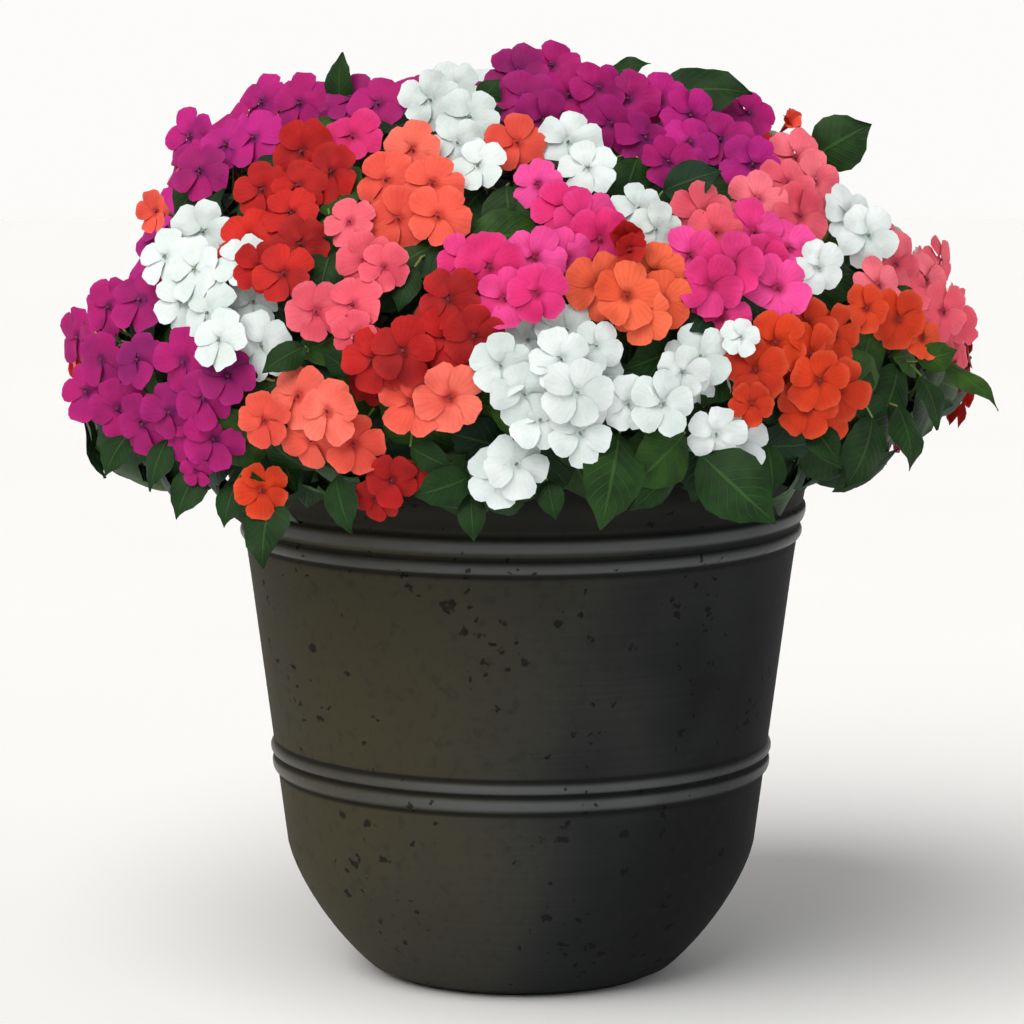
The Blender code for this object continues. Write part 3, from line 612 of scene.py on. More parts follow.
def drill(obj, places, radius, low, high):
    """Cuts upright round holes through a piece."""
    bm = bmesh.new()
    size = {"radius1": radius, "radius2": radius, "depth": high - low}
    for x, y in places:
        middle = Matrix.Translation((x, y, (low + high) / 2))
        bmesh.ops.create_cone(bm, cap_ends=True, segments=32, matrix=middle, **size)
    mesh = bpy.data.meshes.new("drill")
    bm.to_mesh(mesh)
    bm.free()
    tool = bpy.data.objects.new("drill", mesh)
    bpy.context.scene.collection.objects.link(tool)
    holes = obj.modifiers.new("holes", "BOOLEAN")
    holes.operation = "DIFFERENCE"
    holes.object = tool
    bpy.context.view_layer.update()
    obj.data = bpy.data.meshes.new_from_object(obj.evaluated_get(bpy.context.evaluated_depsgraph_get()))
    obj.modifiers.clear()
    bpy.data.objects.remove(tool)


planter = turned("planter_thrown", profile, WHEEL_STEPS)
angles = [math.tau * (i + 0.5) / DRAIN_HOLES for i in range(DRAIN_HOLES)]
drains = [(DRAIN_CIRCLE * math.cos(angle), DRAIN_CIRCLE * math.sin(angle)) for angle in angles]
drill(planter, drains, DRAIN_RADIUS, DRILL_LOW, DRILL_HIGH)
print("planter:", triangles_of(planter), "triangles")

# %% [markdown]
# The clay has faint bands round it from the wheel, and ragged pits stay, in patches, where air or grit
# burnt out. On the left (-X) side it is painted lighter and olive brown as painted light, and on the
# right (+X) side nearly black as painted shade. Under the lip a band of painted shade runs all round,
# and the pits are painted dark as painted shade. The surface is matte and the beads are smooth from
# rubbing. Their crowns are painted paler as a painted highlight, most of all in the middle of the front
# and back, and the grooves beside them are painted dark as painted shade. Each of these is one mix over
# the one before.

# %% Stoneware colours
GREY_CLAY = (0.0225, 0.0245, 0.0250)
PALE_CLAY = (0.0275, 0.0295, 0.0295)
PAINTED_LIGHT_OLIVE_SIDE = (0.0440, 0.0390, 0.0215)
PAINTED_SHADE_DARK_SIDE = (0.0062, 0.0066, 0.0074)
SPECKLED_CLAY = (0.0150, 0.0150, 0.0140)
PAINTED_SHADE_UNDER_LIP = (0.0070, 0.0070, 0.0055)
PAINTED_BEAD_HIGHLIGHT = (0.0850, 0.0900, 0.0910)
PAINTED_GROOVE_SHADE = (0.0080, 0.0080, 0.0075)
PAINTED_PIT_SHADE = (0.0050, 0.0050, 0.0050)
BEAD_REACH = 0.0055
GROOVE_REACH = 0.0030

stoneware = Finish("stoneware", Roughness=0.7, Specular_IOR_Level=0.09)
bands = stoneware.cloud(5.0, 4.0, (1.0, 1.0, 90.0))
blotches = stoneware.cloud(4.5, 3.0)
specks = stoneware.cloud(120.0, 4.0)
across, _, level = stoneware.add("SeparateXYZ", {0: stoneware.place()}).outputs
across = stoneware.math("ADD", across, stoneware.between(blotches, 0.3, 0.7, -0.07, 0.07))
clay = stoneware.mix(stoneware.between(bands, 0.3, 0.7), GREY_CLAY, PALE_CLAY)
# Painted light and painted shade: the -X side is painted lighter and olive brown, the +X side nearly black.
clay = stoneware.mix(stoneware.between(across, 0.12, -0.22), clay, PAINTED_LIGHT_OLIVE_SIDE)
clay = stoneware.mix(stoneware.between(across, -0.02, 0.18), clay, PAINTED_SHADE_DARK_SIDE)
clay = stoneware.mix(stoneware.between(specks, 0.52, 0.72, 0.0, 0.35), clay, SPECKLED_CLAY)
# Painted shade: a dark band under the lip, all round.
clay = stoneware.mix(stoneware.between(level, 0.352, 0.364, 0.0, 0.75), clay, PAINTED_SHADE_UNDER_LIP)


def near_heights(heights, reach):
    """1 at each of some heights, and down to 0 at a reach above and below."""
    total = 0.0
    for height in heights:
        off = stoneware.math("ABSOLUTE", stoneware.math("SUBTRACT", level, height))
        total = stoneware.math("ADD", total, stoneware.between(off, reach, reach * 0.3))
    return total


# Painted highlight: the bead crowns are painted paler, most in the middle of the front and back; the same
# mask also makes them smoother.
rubbed_and_highlit = near_heights([height for height, _, _ in BEADS], BEAD_REACH)
painted_highlight_spread = stoneware.between(stoneware.math("ABSOLUTE", across), 0.21, 0.04, 0.25, 0.85)
clay = stoneware.mix(stoneware.math("MULTIPLY", rubbed_and_highlit, painted_highlight_spread), clay, PAINTED_BEAD_HIGHLIGHT)
# Painted shade: the grooves beside the beads are painted dark.
groove_shade = stoneware.math("MULTIPLY", near_heights(GROOVES, GROOVE_REACH), 0.8)
clay = stoneware.mix(groove_shade, clay, PAINTED_GROOVE_SHADE)
print("stoneware colours:", len(stoneware.tree.nodes), "nodes")

# %% [markdown]
# A pit is a small cell of a Voronoi pattern. The pattern's round cells would look stamped, so noise
# warps the place where it is read. A pattern of patches says where the pits are, and a random size for
# each cell leaves most of them without a pit. Two sizes of pattern give small pits and smaller ones.

# %% Stoneware pits
# Each pattern: its cells to the metre, its largest pit, and the noise from which a patch starts.
PIT_PATTERNS = ((58.0, 0.24, 0.50), (105.0, 0.26, 0.47))
PIT_WARP = (0.013, 0.013, 0.009)

warp = {"Vector": stoneware.place(), "Scale": 170.0, "Detail": 2.0}
warp = stoneware.add("TexNoise", warp).outputs["Color"]
warp = stoneware.add("VectorMath", {0: warp, 1: PIT_WARP}, operation="MULTIPLY").outputs[0]
warped = stoneware.add("VectorMath", {0: stoneware.place(), 1: warp}, operation="ADD").outputs[0]
pits = 0.0
for scale, largest, patch_low in PIT_PATTERNS:
    cells = stoneware.add("TexVoronoi", {"Vector": warped, "Scale": scale})
    patch = stoneware.between(stoneware.cloud(11.0 + scale / 20, 2.0), patch_low, patch_low + 0.08)
    size = stoneware.between(cells.outputs["Color"], 0.30, 0.85, 0.0, largest)
    size = stoneware.math("MULTIPLY", size, patch)
    pit = stoneware.between(stoneware.math("SUBTRACT", cells.outputs["Distance"], size), 0.05, -0.08)
    pits = stoneware.math("MAXIMUM", pits, pit)
# Painted shade: the pits are painted dark.
stoneware.colour(stoneware.mix(stoneware.math("MULTIPLY", pits, 0.75), clay, PAINTED_PIT_SHADE))
stoneware.rough(stoneware.between(stoneware.math("SUBTRACT", rubbed_and_highlit, pits), -0.5, 1.0, 0.85, 0.34))
grit = stoneware.math("MULTIPLY", stoneware.cloud(420.0, 2.0), 0.20)
ridges = stoneware.math("MULTIPLY", bands, 0.12)
stoneware.relief(stoneware.math("SUBTRACT", stoneware.math("ADD", grit, ridges), pits), 0.0010)
planter.data.materials.clear()
planter.data.materials.append(stoneware.material)
as_piece(planter, "planter", "planter")
print("stoneware:", len(stoneware.tree.nodes), "nodes")

# %% [markdown]
# ## The potting soil
#
# The mix is peat with bark crumbs and white perlite. It fills the pot to a few centimetres below the
# lip, and it settles lower round the edge. Poured grains would take a simulation for a surface that the
# leaves nearly hide. So the body is turned like the pot's inside, and its top is pushed up and down by
# noise.

# %% Soil
SOIL_EDGE = 0.362
SOIL_CROWN = 0.370
SOIL_LEVELS = (0.036, 0.095, 0.17, 0.26, SOIL_EDGE - 0.004)
SOIL_STEPS = 110
FIT_GAP = 0.0003
LUMPS_TO_METRE = 55.0
LUMP_RISE = 0.0028


def soil_level(share):
    """The soil's height at a share of the way from the middle to the wall."""
    return SOIL_EDGE + (SOIL_CROWN - SOIL_EDGE) * (1.0 - share**2)


def soil_profile():
    """From the middle of the floor out, up the wall with a hair of clearance, and over the top."""
    side = [(wall_radius(z) - WALL - FIT_GAP, z) for z in SOIL_LEVELS]
    edge = side[-1][0]
    top = [(edge * share, soil_level(share)) for share in np.linspace(0.985, 0.0, 34)]
    floor_edge = wall_radius(FLOOR) - WALL - INSIDE_CORNER - FIT_GAP
    return [(0.0, FLOOR + FIT_GAP), (floor_edge, FLOOR + FIT_GAP), *side, *top]


soil = turned("soil_bed", soil_profile(), SOIL_STEPS)
for vert in soil.data.vertices:
    if vert.co.z > SOIL_EDGE - 0.001:
        lump = noise.fractal(vert.co * LUMPS_TO_METRE, 0.8, 2.1, 5)
        vert.co.z += LUMP_RISE * lump - 0.001
soil_heap = Heap()
soil_points = np.array([vert.co[:] for vert in soil.data.vertices])
soil_quads = np.array([face.vertices[:] for face in soil.data.polygons if len(face.vertices) == 4])
soil_fans = np.array([face.vertices[:] for face in soil.data.polygons if len(face.vertices) == 3])
soil_heap.lay(soil_points, [soil_quads, soil_fans], np.zeros((len(soil_points), 3)))
bpy.data.objects.remove(soil)
print("soil bed:", soil_heap.count, "points")

# %% [markdown]
# A few hundred crumbs lie on the bed: bark, and smaller white perlite. They could be scattered with
# geometry nodes. Six rough forms, turned into crumbs by a size of their own, need no more than a loop,
# and they go on the same heap as the bed.

# %% Crumbs on the soil
CRUMBS = 320
CRUMB_REACH = 0.198
PERLITE_SHARE = 0.3
PERLITE_SIZE = (0.0012, 0.0024)
BARK_SIZE = (0.0015, 0.0042)
PEAT, PERLITE = 0, 1


def ball_form():
    """A coarse ball with a radius of 1: points and faces."""
    bm = bmesh.new()
    bmesh.ops.create_icosphere(bm, subdivisions=1, radius=1.0)
    points = np.array([vert.co[:] for vert in bm.verts])
    faces = np.array([[vert.index for vert in face.verts] for face in bm.faces])
    bm.free()
    return points, faces


def crumb_form(seed):
    """One rough crumb with a radius of about 1."""
    rng = random.Random(seed)
    points, faces = ball_form()
    return points * [[rng.uniform(0.7, 1.2)] for _ in points], faces


rng = random.Random(3)
crumbs = [crumb_form(seed) for seed in range(6)]
for _ in range(CRUMBS):
    angle, reach = rng.uniform(0.0, math.tau), CRUMB_REACH * math.sqrt(rng.random())
    shape, faces = rng.choice(crumbs)
    perlite = rng.random() < PERLITE_SHARE
    size = rng.uniform(*(PERLITE_SIZE if perlite else BARK_SIZE))
    flat = (size, size * rng.uniform(0.5, 1.0), size * 0.6)
    place = (math.cos(angle) * reach, math.sin(angle) * reach, soil_level(reach / LIP_INSIDE))
    grain = np.full((len(shape), 3), (0.0, 0.0, rng.random()))
    soil_heap.lay(shape * flat + place, [faces], grain, PERLITE if perlite else PEAT)
print("soil with crumbs:", soil_heap.count, "points")

# %% [markdown]
# Damp peat is nearly black, with paler fibres. Its clods are too small and too many to model, so one
# noise gives both their colour and their relief. Perlite is a puffed white glass.

# %% Soil finish
peat = Finish("peat", Roughness=0.95)
clods = peat.cloud(160.0, 6.0)
peat.colour(peat.mix(peat.between(clods, 0.35, 0.65), (0.011, 0.007, 0.005), (0.050, 0.032, 0.020)))
peat.relief(clods, 0.002)
perlite_white = Finish("perlite", Roughness=0.9)
specks = perlite_white.cloud(700.0, 3.0)
perlite_white.colour(perlite_white.mix(specks, (0.55, 0.53, 0.48), (0.82, 0.81, 0.78)))
perlite_white.relief(specks, 0.0004)
soil = as_piece(soil_heap.make("soil_bed", [peat.material, perlite_white.material]), "soil", "potting_soil")
print("soil:", triangles_of(soil), "triangles")

# %% [markdown]
# ## Petals
#
# An impatiens flower is flat, 4.5 to 5 cm across, and has five broad petals with a shallow notch at the
# tip. A petal could be a flat card with a cut-out edge, but up close the edge and the cup have to be
# real. So a petal is drawn here as rings round its own middle, wider towards the tip. Its face falls
# back from the heart, its edge waves a little, and one side stands higher than the other, so that each
# petal lies over its neighbour on one side and under it on the other. Eight forms are enough: turned,
# sized and bent differently, no two flowers look the same.

# %% Petal forms
PETALS = 5
PETAL_SIDES = 14
PETAL_MIDDLE = 0.56
PETAL_HALF_LENGTH = 0.46
PETAL_FALL = 0.10
PETAL_LEAN = 0.11
PETAL_THICK = 0.022
PETAL_CUP = 0.05
PETAL_WIDTH = (0.51, 0.59)
NOTCH = (0.05, 0.17)
NOTCH_WIDTH = 0.33
EDGE_WAVE = (0.03, 0.07)
RUFFLE = 0.022
RUFFLES = (5.0, 7.0)


def ring_faces(inner, outer):
    """Faces between two rings of a petal, each given by its first point."""
    here = np.arange(PETAL_SIDES)
    after = (here + 1) % PETAL_SIDES
    return np.stack((inner + here, outer + here, outer + after, inner + after), 1)


def fan_faces(middle, first):
    """Faces between a petal's middle and its innermost ring."""
    here = np.arange(PETAL_SIDES)
    return np.stack((np.full(PETAL_SIDES, middle), first + here, first + (here + 1) % PETAL_SIDES), 1)


def petal_form(seed):
    """A petal of length 1 along +X from the heart, thin at its rim: points, faces and grain."""
    rng = random.Random(seed)
    width, notch = rng.uniform(*PETAL_WIDTH), rng.uniform(*NOTCH)
    wave, phase = rng.uniform(*EDGE_WAVE), rng.uniform(0.0, math.tau)
    turns = np.arange(PETAL_SIDES) * math.tau / PETAL_SIDES
    off = np.minimum(turns, math.tau - turns)
    long = PETAL_HALF_LENGTH * np.cos(turns) * (1.0 - notch * np.exp(-((off / NOTCH_WIDTH) ** 2)))
    rim = np.stack((long, width * np.sin(turns) * (0.8 + 0.2 * np.cos(turns))), 1)
    rim *= 1.0 + RUFFLE * np.sin(RUFFLES[seed % 2] * turns + phase)[:, None]
    # The middle point and three rings, of which the last one is the rim.
    flat = np.concatenate((np.zeros((1, 2)), rim / 3, rim * 2 / 3, rim))
    share = np.concatenate(([0.0], np.repeat((1 / 3, 2 / 3, 1.0), PETAL_SIDES)))
    turn = np.concatenate(([0.0], np.tile(turns, 3)))
    x, y = flat[:, 0] + PETAL_MIDDLE, flat[:, 1]
    waves = wave * share**2 * np.sin(3 * turn + phase)
    z = PETAL_LEAN * y - PETAL_FALL * x**2 - PETAL_CUP * (y / width) ** 2 + waves
    top = np.stack((x, y, z), 1)
    # The underside has no rim of its own, so the petal is closed and thin at its edge.
    rim_first, below = 1 + 2 * PETAL_SIDES, len(top)
    thick = PETAL_THICK * (1.0 - share[:rim_first] ** 2)
    under = top[:rim_first] - np.stack((0 * thick, 0 * thick, thick), 1)
    ring = 1 + PETAL_SIDES
    faces_up = [ring_faces(1, ring), ring_faces(ring, rim_first)]
    faces_down = [ring_faces(below + 1, below + ring)[:, ::-1], ring_faces(below + ring, rim_first)[:, ::-1]]
    fans = [fan_faces(0, 1), fan_faces(below, below + 1)[:, ::-1]]
    points = np.concatenate((top, under))
    grain = np.stack((points[:, 1] / width, np.hypot(points[:, 0], points[:, 1]), 0 * points[:, 0]), 1)
    return points, [np.concatenate(faces_up + faces_down), np.concatenate(fans)], grain


petal_forms = [petal_form(seed) for seed in range(8)]
print("petal:", len(petal_forms[0][0]), "points, a flower:", PETALS * len(petal_forms[0][0]))

# %% [markdown]
# ## A flower
#
# The petals meet round a small eye, and behind them a throat narrows to a thin curved spur. The flower
# hangs on a fine stalk that bends into its back from below. Each petal takes one of the eight forms, a
# size and a bend of its own, and all of them share the flower's tint, give or take a little.

# %% Lay one flower
PETAL, GREEN, EYE_CAP = 0, 1, 2
PETAL_SIZE = (0.92, 1.06)
PETAL_BEND = (-0.10, 0.14)
EYE_SIZE = (0.05, 0.075, 0.06)
EYE_RAISED = 0.0012
THROAT_DEPTH = 0.009
THROAT_WIDE = 0.19
THROAT_NARROW = 0.0013
SPUR_BACK = 0.014
SPUR_DROP = 0.012
SPUR_THICK = 0.0011
SPUR_THIN = 0.0003
FLOWER_STALK = 0.0011

eye_points, eye_faces = ball_form()


def flower_axes(facing, spin):
    """Axes of a flower: two across its face, and the way that it faces."""
    return np.array(facing.to_track_quat("Z", "Y").to_matrix() @ Matrix.Rotation(spin, 3, "Z"))


def lay_flower(heap, flower, root, rng, tints=(0.0, 1.0)):
    """Lays five petals, the eye, the throat with its spur, and the stalk down to the root.

    Fold is the angle that the petals stand forward by: 0 in an open flower, over 1 in a bud.
    """
    place, facing, radius, fold = flower
    axes = flower_axes(facing, rng.uniform(0.0, math.tau))
    tint = rng.uniform(*tints)
    for k in range(PETALS):
        points, faces, grain = rng.choice(petal_forms)
        size = radius * rng.uniform(*PETAL_SIZE)
        turn = math.tau * k / PETALS + rng.uniform(-0.07, 0.07)
        bend = rng.uniform(*PETAL_BEND) - fold
        shape = Matrix.Rotation(turn, 3, "Z") @ Matrix.Rotation(bend, 3, "Y")
        placed = points @ (axes @ np.array(shape)).T * size + np.array(place)
        grain = grain.copy()
        grain[:, 2] = min(1.0, max(0.0, tint + rng.uniform(-0.12, 0.12)))
        heap.lay(placed, faces, grain, PETAL)
    eye = eye_points * EYE_SIZE * radius @ axes.T + np.array(place) + axes[:, 2] * EYE_RAISED
    heap.lay(eye, [eye_faces], np.full((len(eye), 3), (0.0, 0.0, tint)), EYE_CAP)
    back = place - facing * THROAT_DEPTH
    down = Vector((0.0, 0.0, -1.0))
    throat = bent_path(place - facing * 0.0008, back, -facing * 0.003, -facing * 0.003, 2)
    heap.lay(*rod(throat, THROAT_WIDE * radius, THROAT_NARROW, 6, tint), PETAL)
    spur_end = back - facing * SPUR_BACK + down * SPUR_DROP
    spur = bent_path(back, spur_end, -facing * 0.008, down * 0.008, 4)
    heap.lay(*rod(spur, SPUR_THICK, SPUR_THIN, 4, tint), PETAL)
    stalk = bent_path(back, root, -facing * 0.012, (root - back).normalized() * 0.010, 5)
    heap.lay(*rod(stalk, FLOWER_STALK, FLOWER_STALK * 1.2, 5, tint), GREEN)


trial = Heap()
lay_flower(trial, (Vector(), Vector((0, 0, 1)), 0.024, 0.0), Vector((0, 0, -0.05)), random.Random(0))
print("one flower:", trial.count, "points,", len(trial.faces), "faces")

# %% [markdown]
# ## Where the flowers are
#
# The solids already say where each flower is. In a head's mesh, the heart of a flower is the one point
# that its whole rim is joined to, so it has many neighbours at nearly one distance. The heart's place,
# its normal and that distance are all that a detailed flower needs. Typing the places in again would be
# the other way, and it would go wrong as soon as a solid moved.

# %% Read the flowers
HEART_NEIGHBOURS = 12
RIM_POINTS = 8
SOLID_RADIUS = (0.017, 0.028)
SAME_POINT = 0.000001


def read_flowers(node):
    """Each flower of a solid head as its place, the way it faces, its radius and its fold."""
    bm = bmesh.new()
    bm.from_mesh(frame["nodes"][node].data)
    bmesh.ops.remove_doubles(bm, verts=bm.verts, dist=SAME_POINT)
    bm.normal_update()
    found = []
    for vert in bm.verts:
        reaches = sorted((edge.calc_length() for edge in vert.link_edges), reverse=True)
        if len(reaches) < HEART_NEIGHBOURS:
            continue
        if SOLID_RADIUS[0] < reaches[0] < SOLID_RADIUS[1] and reaches[RIM_POINTS - 1] > 0.9 * reaches[0]:
            found.append((vert.co.copy(), vert.normal.copy(), reaches[0], 0.0))
    bm.free()
    return found


flower_lists = {head: read_flowers(head) for head in heads}
print("flowers read:", sum(len(flowers) for flowers in flower_lists.values()))

# %% [markdown]
# The solid heads hold fewer flowers than the picture shows, to stay light. Here the heads that the
# picture shows are filled: each entry gives the pixel of a flower's heart, a third number makes a flower
# smaller, and a fourth folds it. Three small ones have no solid head of their own: a flower at the left
# edge that is seen from its side, a bud on the right shoulder, and a dark pair in the middle that is
# half open. Rows of pixels are dull to read, but a flower that sits wrong is found and moved at once.

# %% Flowers that the picture shows
SEEN_FLOWERS = {
    "magenta_crown_left_shoulder": ((190, 137), (200, 172), (226, 146)),
    "magenta_crown_left": ((262, 103), (300, 104), (254, 138), (352, 100), (378, 104)),
    "white_crown_middle_left": ((430, 100), (452, 84), (470, 118), (457, 143, 0.9), (478, 166)),
    "magenta_crown_middle": ((518, 74), (552, 66), (524, 98), (543, 120)),
    "magenta_crown_right": (
        (570, 92), (596, 90), (628, 97), (660, 98), (611, 124), (645, 138), (668, 162),
    ),
    "magenta_crown_right_shoulder": ((690, 116), (748, 114), (720, 140), (752, 165), (690, 142)),
    "white_upper_dot": ((568, 140), (588, 168)),
    "coral_upper_dot": ((517, 143),),
    "coral_upper_left": ((413, 150), (386, 180), (432, 184), (438, 217), (397, 218)),
    "hot_pink_upper_left_dot": ((352, 137),),
    "red_upper_left": (
        (302, 152), (262, 190), (298, 186), (332, 172), (250, 240), (292, 214), (300, 244, 0.9),
        (286, 276), (262, 268, 0.8),
    ),
    "rose_middle_left": (
        (350, 222, 0.85), (366, 262), (356, 308), (316, 312), (384, 270, 0.8), (357, 336, 0.8),
    ),
    "white_left": (
        (203, 232), (172, 262), (203, 274), (243, 264), (182, 302), (212, 314), (248, 298), (226, 344),
        (256, 346),
    ),
    "magenta_far_left": (
        (109, 307), (78, 337), (140, 300), (102, 360), (138, 360), (87, 392), (118, 408), (143, 424),
    ),
    "magenta_lower_left": (
        (184, 362), (204, 398), (228, 376), (170, 412), (186, 436), (212, 440), (201, 466, 0.55),
    ),
    "hot_pink_middle": (
        (538, 184, 0.85), (562, 208, 0.9), (586, 220), (600, 240), (462, 258, 0.9), (490, 268),
        (534, 258), (566, 258), (503, 300), (538, 294),
    ),
    "red_middle": (
        (450, 300), (420, 334), (448, 338), (474, 336), (376, 362), (402, 354), (362, 384, 0.8),
    ),
    "coral_lower_left": ((298, 396), (268, 418, 0.9), (312, 440), (354, 444), (334, 412)),
    "coral_lower_middle": ((412, 402), (450, 398), (398, 376, 0.9)),
    "white_middle": (
        (500, 366), (524, 392), (530, 338), (568, 328), (560, 362), (596, 346, 0.9), (600, 376, 0.85),
        (574, 390), (540, 420), (578, 434),
    ),
    "white_lowest": ((498, 478), (516, 464)),
    "white_lower_right": (
        (628, 404, 0.9), (660, 404), (682, 372, 0.85), (702, 356), (722, 374, 0.9), (694, 384),
        (716, 434), (742, 442), (740, 338, 0.6),
    ),
    "orange_middle_right": ((597, 286), (625, 298), (654, 272), (663, 302, 0.9), (642, 316, 0.9)),
    "white_upper_middle": ((638, 208, 0.85), (656, 230, 0.85)),
    "rose_upper_right": (
        (795, 158), (784, 186), (814, 182), (800, 216), (757, 200), (702, 214), (716, 232),
    ),
    "hot_pink_right": (
        (754, 232), (788, 248), (690, 256), (762, 264), (730, 266), (708, 286), (742, 298), (776, 290),
        (724, 316),
    ),
    "white_right": ((848, 216), (866, 236), (816, 268, 0.85)),
    "rose_far_right": (
        (896, 264), (926, 280), (940, 260, 0.8), (882, 284, 0.9), (910, 286, 0.9), (938, 312),
        (960, 322, 0.8),
    ),
    "orange_far_right": ((898, 319), (866, 308, 0.8), (922, 338, 0.8)),
    "orange_lower_right": (
        (775, 343), (806, 325), (838, 336), (806, 354), (755, 370), (785, 382), (815, 378), (838, 390),
        (806, 408), (832, 414), (750, 403, 0.7),
    ),
    "orange_fringe_left": ((262, 490, 0.95),),
    "red_fringe_middle": ((376, 500, 0.8), (392, 480, 0.8), (412, 478, 0.6)),
}
SEEN_BUDS = {
    "coral_bud_left": ((157, 212, 0.75, 0.5),),
    "coral_bud_right": ((788, 124, 0.52, 1.1),),
    "red_bud": ((624, 238, 0.62, 0.9), (627, 250, 0.55, 0.7)),
}
assert all("blooms_" + name in heads for name in SEEN_FLOWERS)
print("flowers in the picture:", sum(len(pixels) for pixels in SEEN_FLOWERS.values()))

# %% [markdown]
# Each flower sits on the dome at its pixel, so it is on its own head from any side. It faces out as all
# do, turns partly to the open side, where the light comes from, and strays a little from both.

# %% Set them on the dome
FLOWER_RADIUS = (0.0215, 0.0250)
OPEN_FOLD = (0.0, 0.2)
FACE_TILT = 0.32
TURN_TO_LIGHT = 0.45


def stray_tilt(rng):
    """The small way by which a flower's face strays from its neighbours'."""
    return Vector([rng.uniform(-FACE_TILT, FACE_TILT) for _ in range(3)])


def seen_flower(rng, px, py, size=1.0, fold=None):
    """A flower on the dome at a pixel. It turns to the open side, where the light comes from."""
    place = on_dome(px, py)
    tilt = stray_tilt(rng)
    fold = rng.uniform(*OPEN_FOLD) if fold is None else fold
    facing = (facing_out(place) + (EYE - place).normalized() * TURN_TO_LIGHT + tilt).normalized()
    return place, facing, rng.uniform(*FLOWER_RADIUS) * size, fold


SEEN_ALL = {**SEEN_FLOWERS, **SEEN_BUDS}
rng = random.Random(41)
for name, pixels in SEEN_ALL.items():
    flower_lists["blooms_" + name] = [seen_flower(rng, *pixel) for pixel in pixels]
print("flowers now:", sum(len(flowers) for flowers in flower_lists.values()))

# %% [markdown]
# The bush is in flower all round, and the solids have small heads of flowers wherever there is room on
# its sides and back. First, more heads are put between those, and over the crown. Each new head takes a
# colour that its three nearest neighbours don't have, so the patches stay mixed as in the picture.

# %% Heads on the sides and back
# How much the dome faces the eye where the heads needn't be ones of the picture: low down, and on top.
AROUND_BELOW = -0.12
OVER_CROWN_BELOW = 0.10
HEAD_POINTS = 200
HEAD_SPACING = 0.074
NEIGHBOURS = 3
LOWEST_FLOWER = -0.40
GOLDEN_ANGLE = math.pi * (3 - math.sqrt(5))
COLOURS = ("hot_pink", "white", "coral", "magenta", "orange", "rose", "red")


def spread(count, lowest):
    """Points spread evenly over the dome, from its top down to a height share."""
    shares = [1.0 - (i + 0.5) / count * (1.0 - lowest) for i in range(count)]
    return [dome_point(i * GOLDEN_ANGLE, share) for i, share in enumerate(shares)]


def towards_eye(point):
    """1 where the dome faces the camera, 0 on its outline and below 0 behind that."""
    return dome_normal(point).dot((EYE - point).normalized())


def behind_outline(point):
    """Whether a point is so far round that the heads near it needn't be ones of the picture."""
    return towards_eye(point) < (OVER_CROWN_BELOW if point.z > CROWN_FROM else AROUND_BELOW)


def middle_of(points):
    """The middle of some points."""
    total = Vector()
    for point in points:
        total += point
    return total / len(points)


def strain_of(head):
    """The colour in the name of a solid head."""
    return next(colour for colour in COLOURS if head.startswith("blooms_" + colour + "_"))


centres = [(head, middle_of([flower[0] for flower in flowers])) for head, flowers in flower_lists.items()]
front_centres = [(head, centre) for head, centre in centres if head.removeprefix("blooms_") in SEEN_FLOWERS]
side_heads = {}
for point in spread(HEAD_POINTS, LOWEST_FLOWER):
    if behind_outline(point) and all((point - at).length > HEAD_SPACING for _, at in centres):
        near = sorted(centres, key=lambda pair: (point - pair[1]).length)[:NEIGHBOURS]
        taken = [side_heads.get(name) or strain_of(name) for name, _ in near]
        turn = len(side_heads) % len(COLOURS)
        name = f"side_{len(side_heads) + 1}"
        side_heads[name] = next(colour for colour in COLOURS[turn:] + COLOURS[:turn] if colour not in taken)
        flower_lists[name] = []
        centres.append((name, point))
print("heads added on the sides and back:", len(side_heads))

# %% [markdown]
# Then points spread evenly over the hidden part of the dome each become a flower of the nearest head,
# if it is near enough, and the gaps that are left show leaves, as they do in front. Round the outline
# the nearest head of the picture takes them, so the edge of the bush has its colours. The flowers there
# stand straighter, and the ones just behind the edge sit deeper, so that they don't show past it.

# %% Flowers that the picture doesn't show
# How much the dome faces the eye: below the first number a point may be filled, and above the second
# one it is near the outline.
HIDDEN_BELOW = 0.24
NEAR_OUTLINE = -0.45
FLOWER_POINTS = 2000
FLOWER_SPACING = 0.031
FLOWER_HANG = 0.022
EDGE_HANG = 0.036
HEAD_REACH = 0.060
EDGE_REACH = 0.118
HIDDEN_SINK = (0.004, 0.010)
EDGE_SINK = 0.009
EDGE_TILT = 0.35

rng = random.Random(43)
hearts = [flower[0] for flowers in flower_lists.values() for flower in flowers]
for point in spread(FLOWER_POINTS, LOWEST_FLOWER):
    facing_eye = towards_eye(point)
    by_outline = facing_eye > NEAR_OUTLINE
    if too_low(point - Vector((0.0, 0.0, EDGE_HANG if by_outline else FLOWER_HANG))):
        continue
    if facing_eye < HIDDEN_BELOW and all((point - heart).length > FLOWER_SPACING for heart in hearts):
        behind = behind_outline(point)
        name, centre = min(centres if behind else front_centres, key=lambda pair: (point - pair[1]).length)
        if (point - centre).length < (HEAD_REACH if behind else EDGE_REACH):
            tilt = stray_tilt(rng) * (EDGE_TILT if by_outline else 1.0)
            facing = (facing_out(point) + tilt).normalized()
            sink = rng.uniform(*HIDDEN_SINK) + (EDGE_SINK if by_outline and behind else 0.0)
            place = point - dome_normal(point) * sink
            flower_lists[name].append((place, facing, rng.uniform(*FLOWER_RADIUS), rng.uniform(*OPEN_FOLD)))
            hearts.append(point)

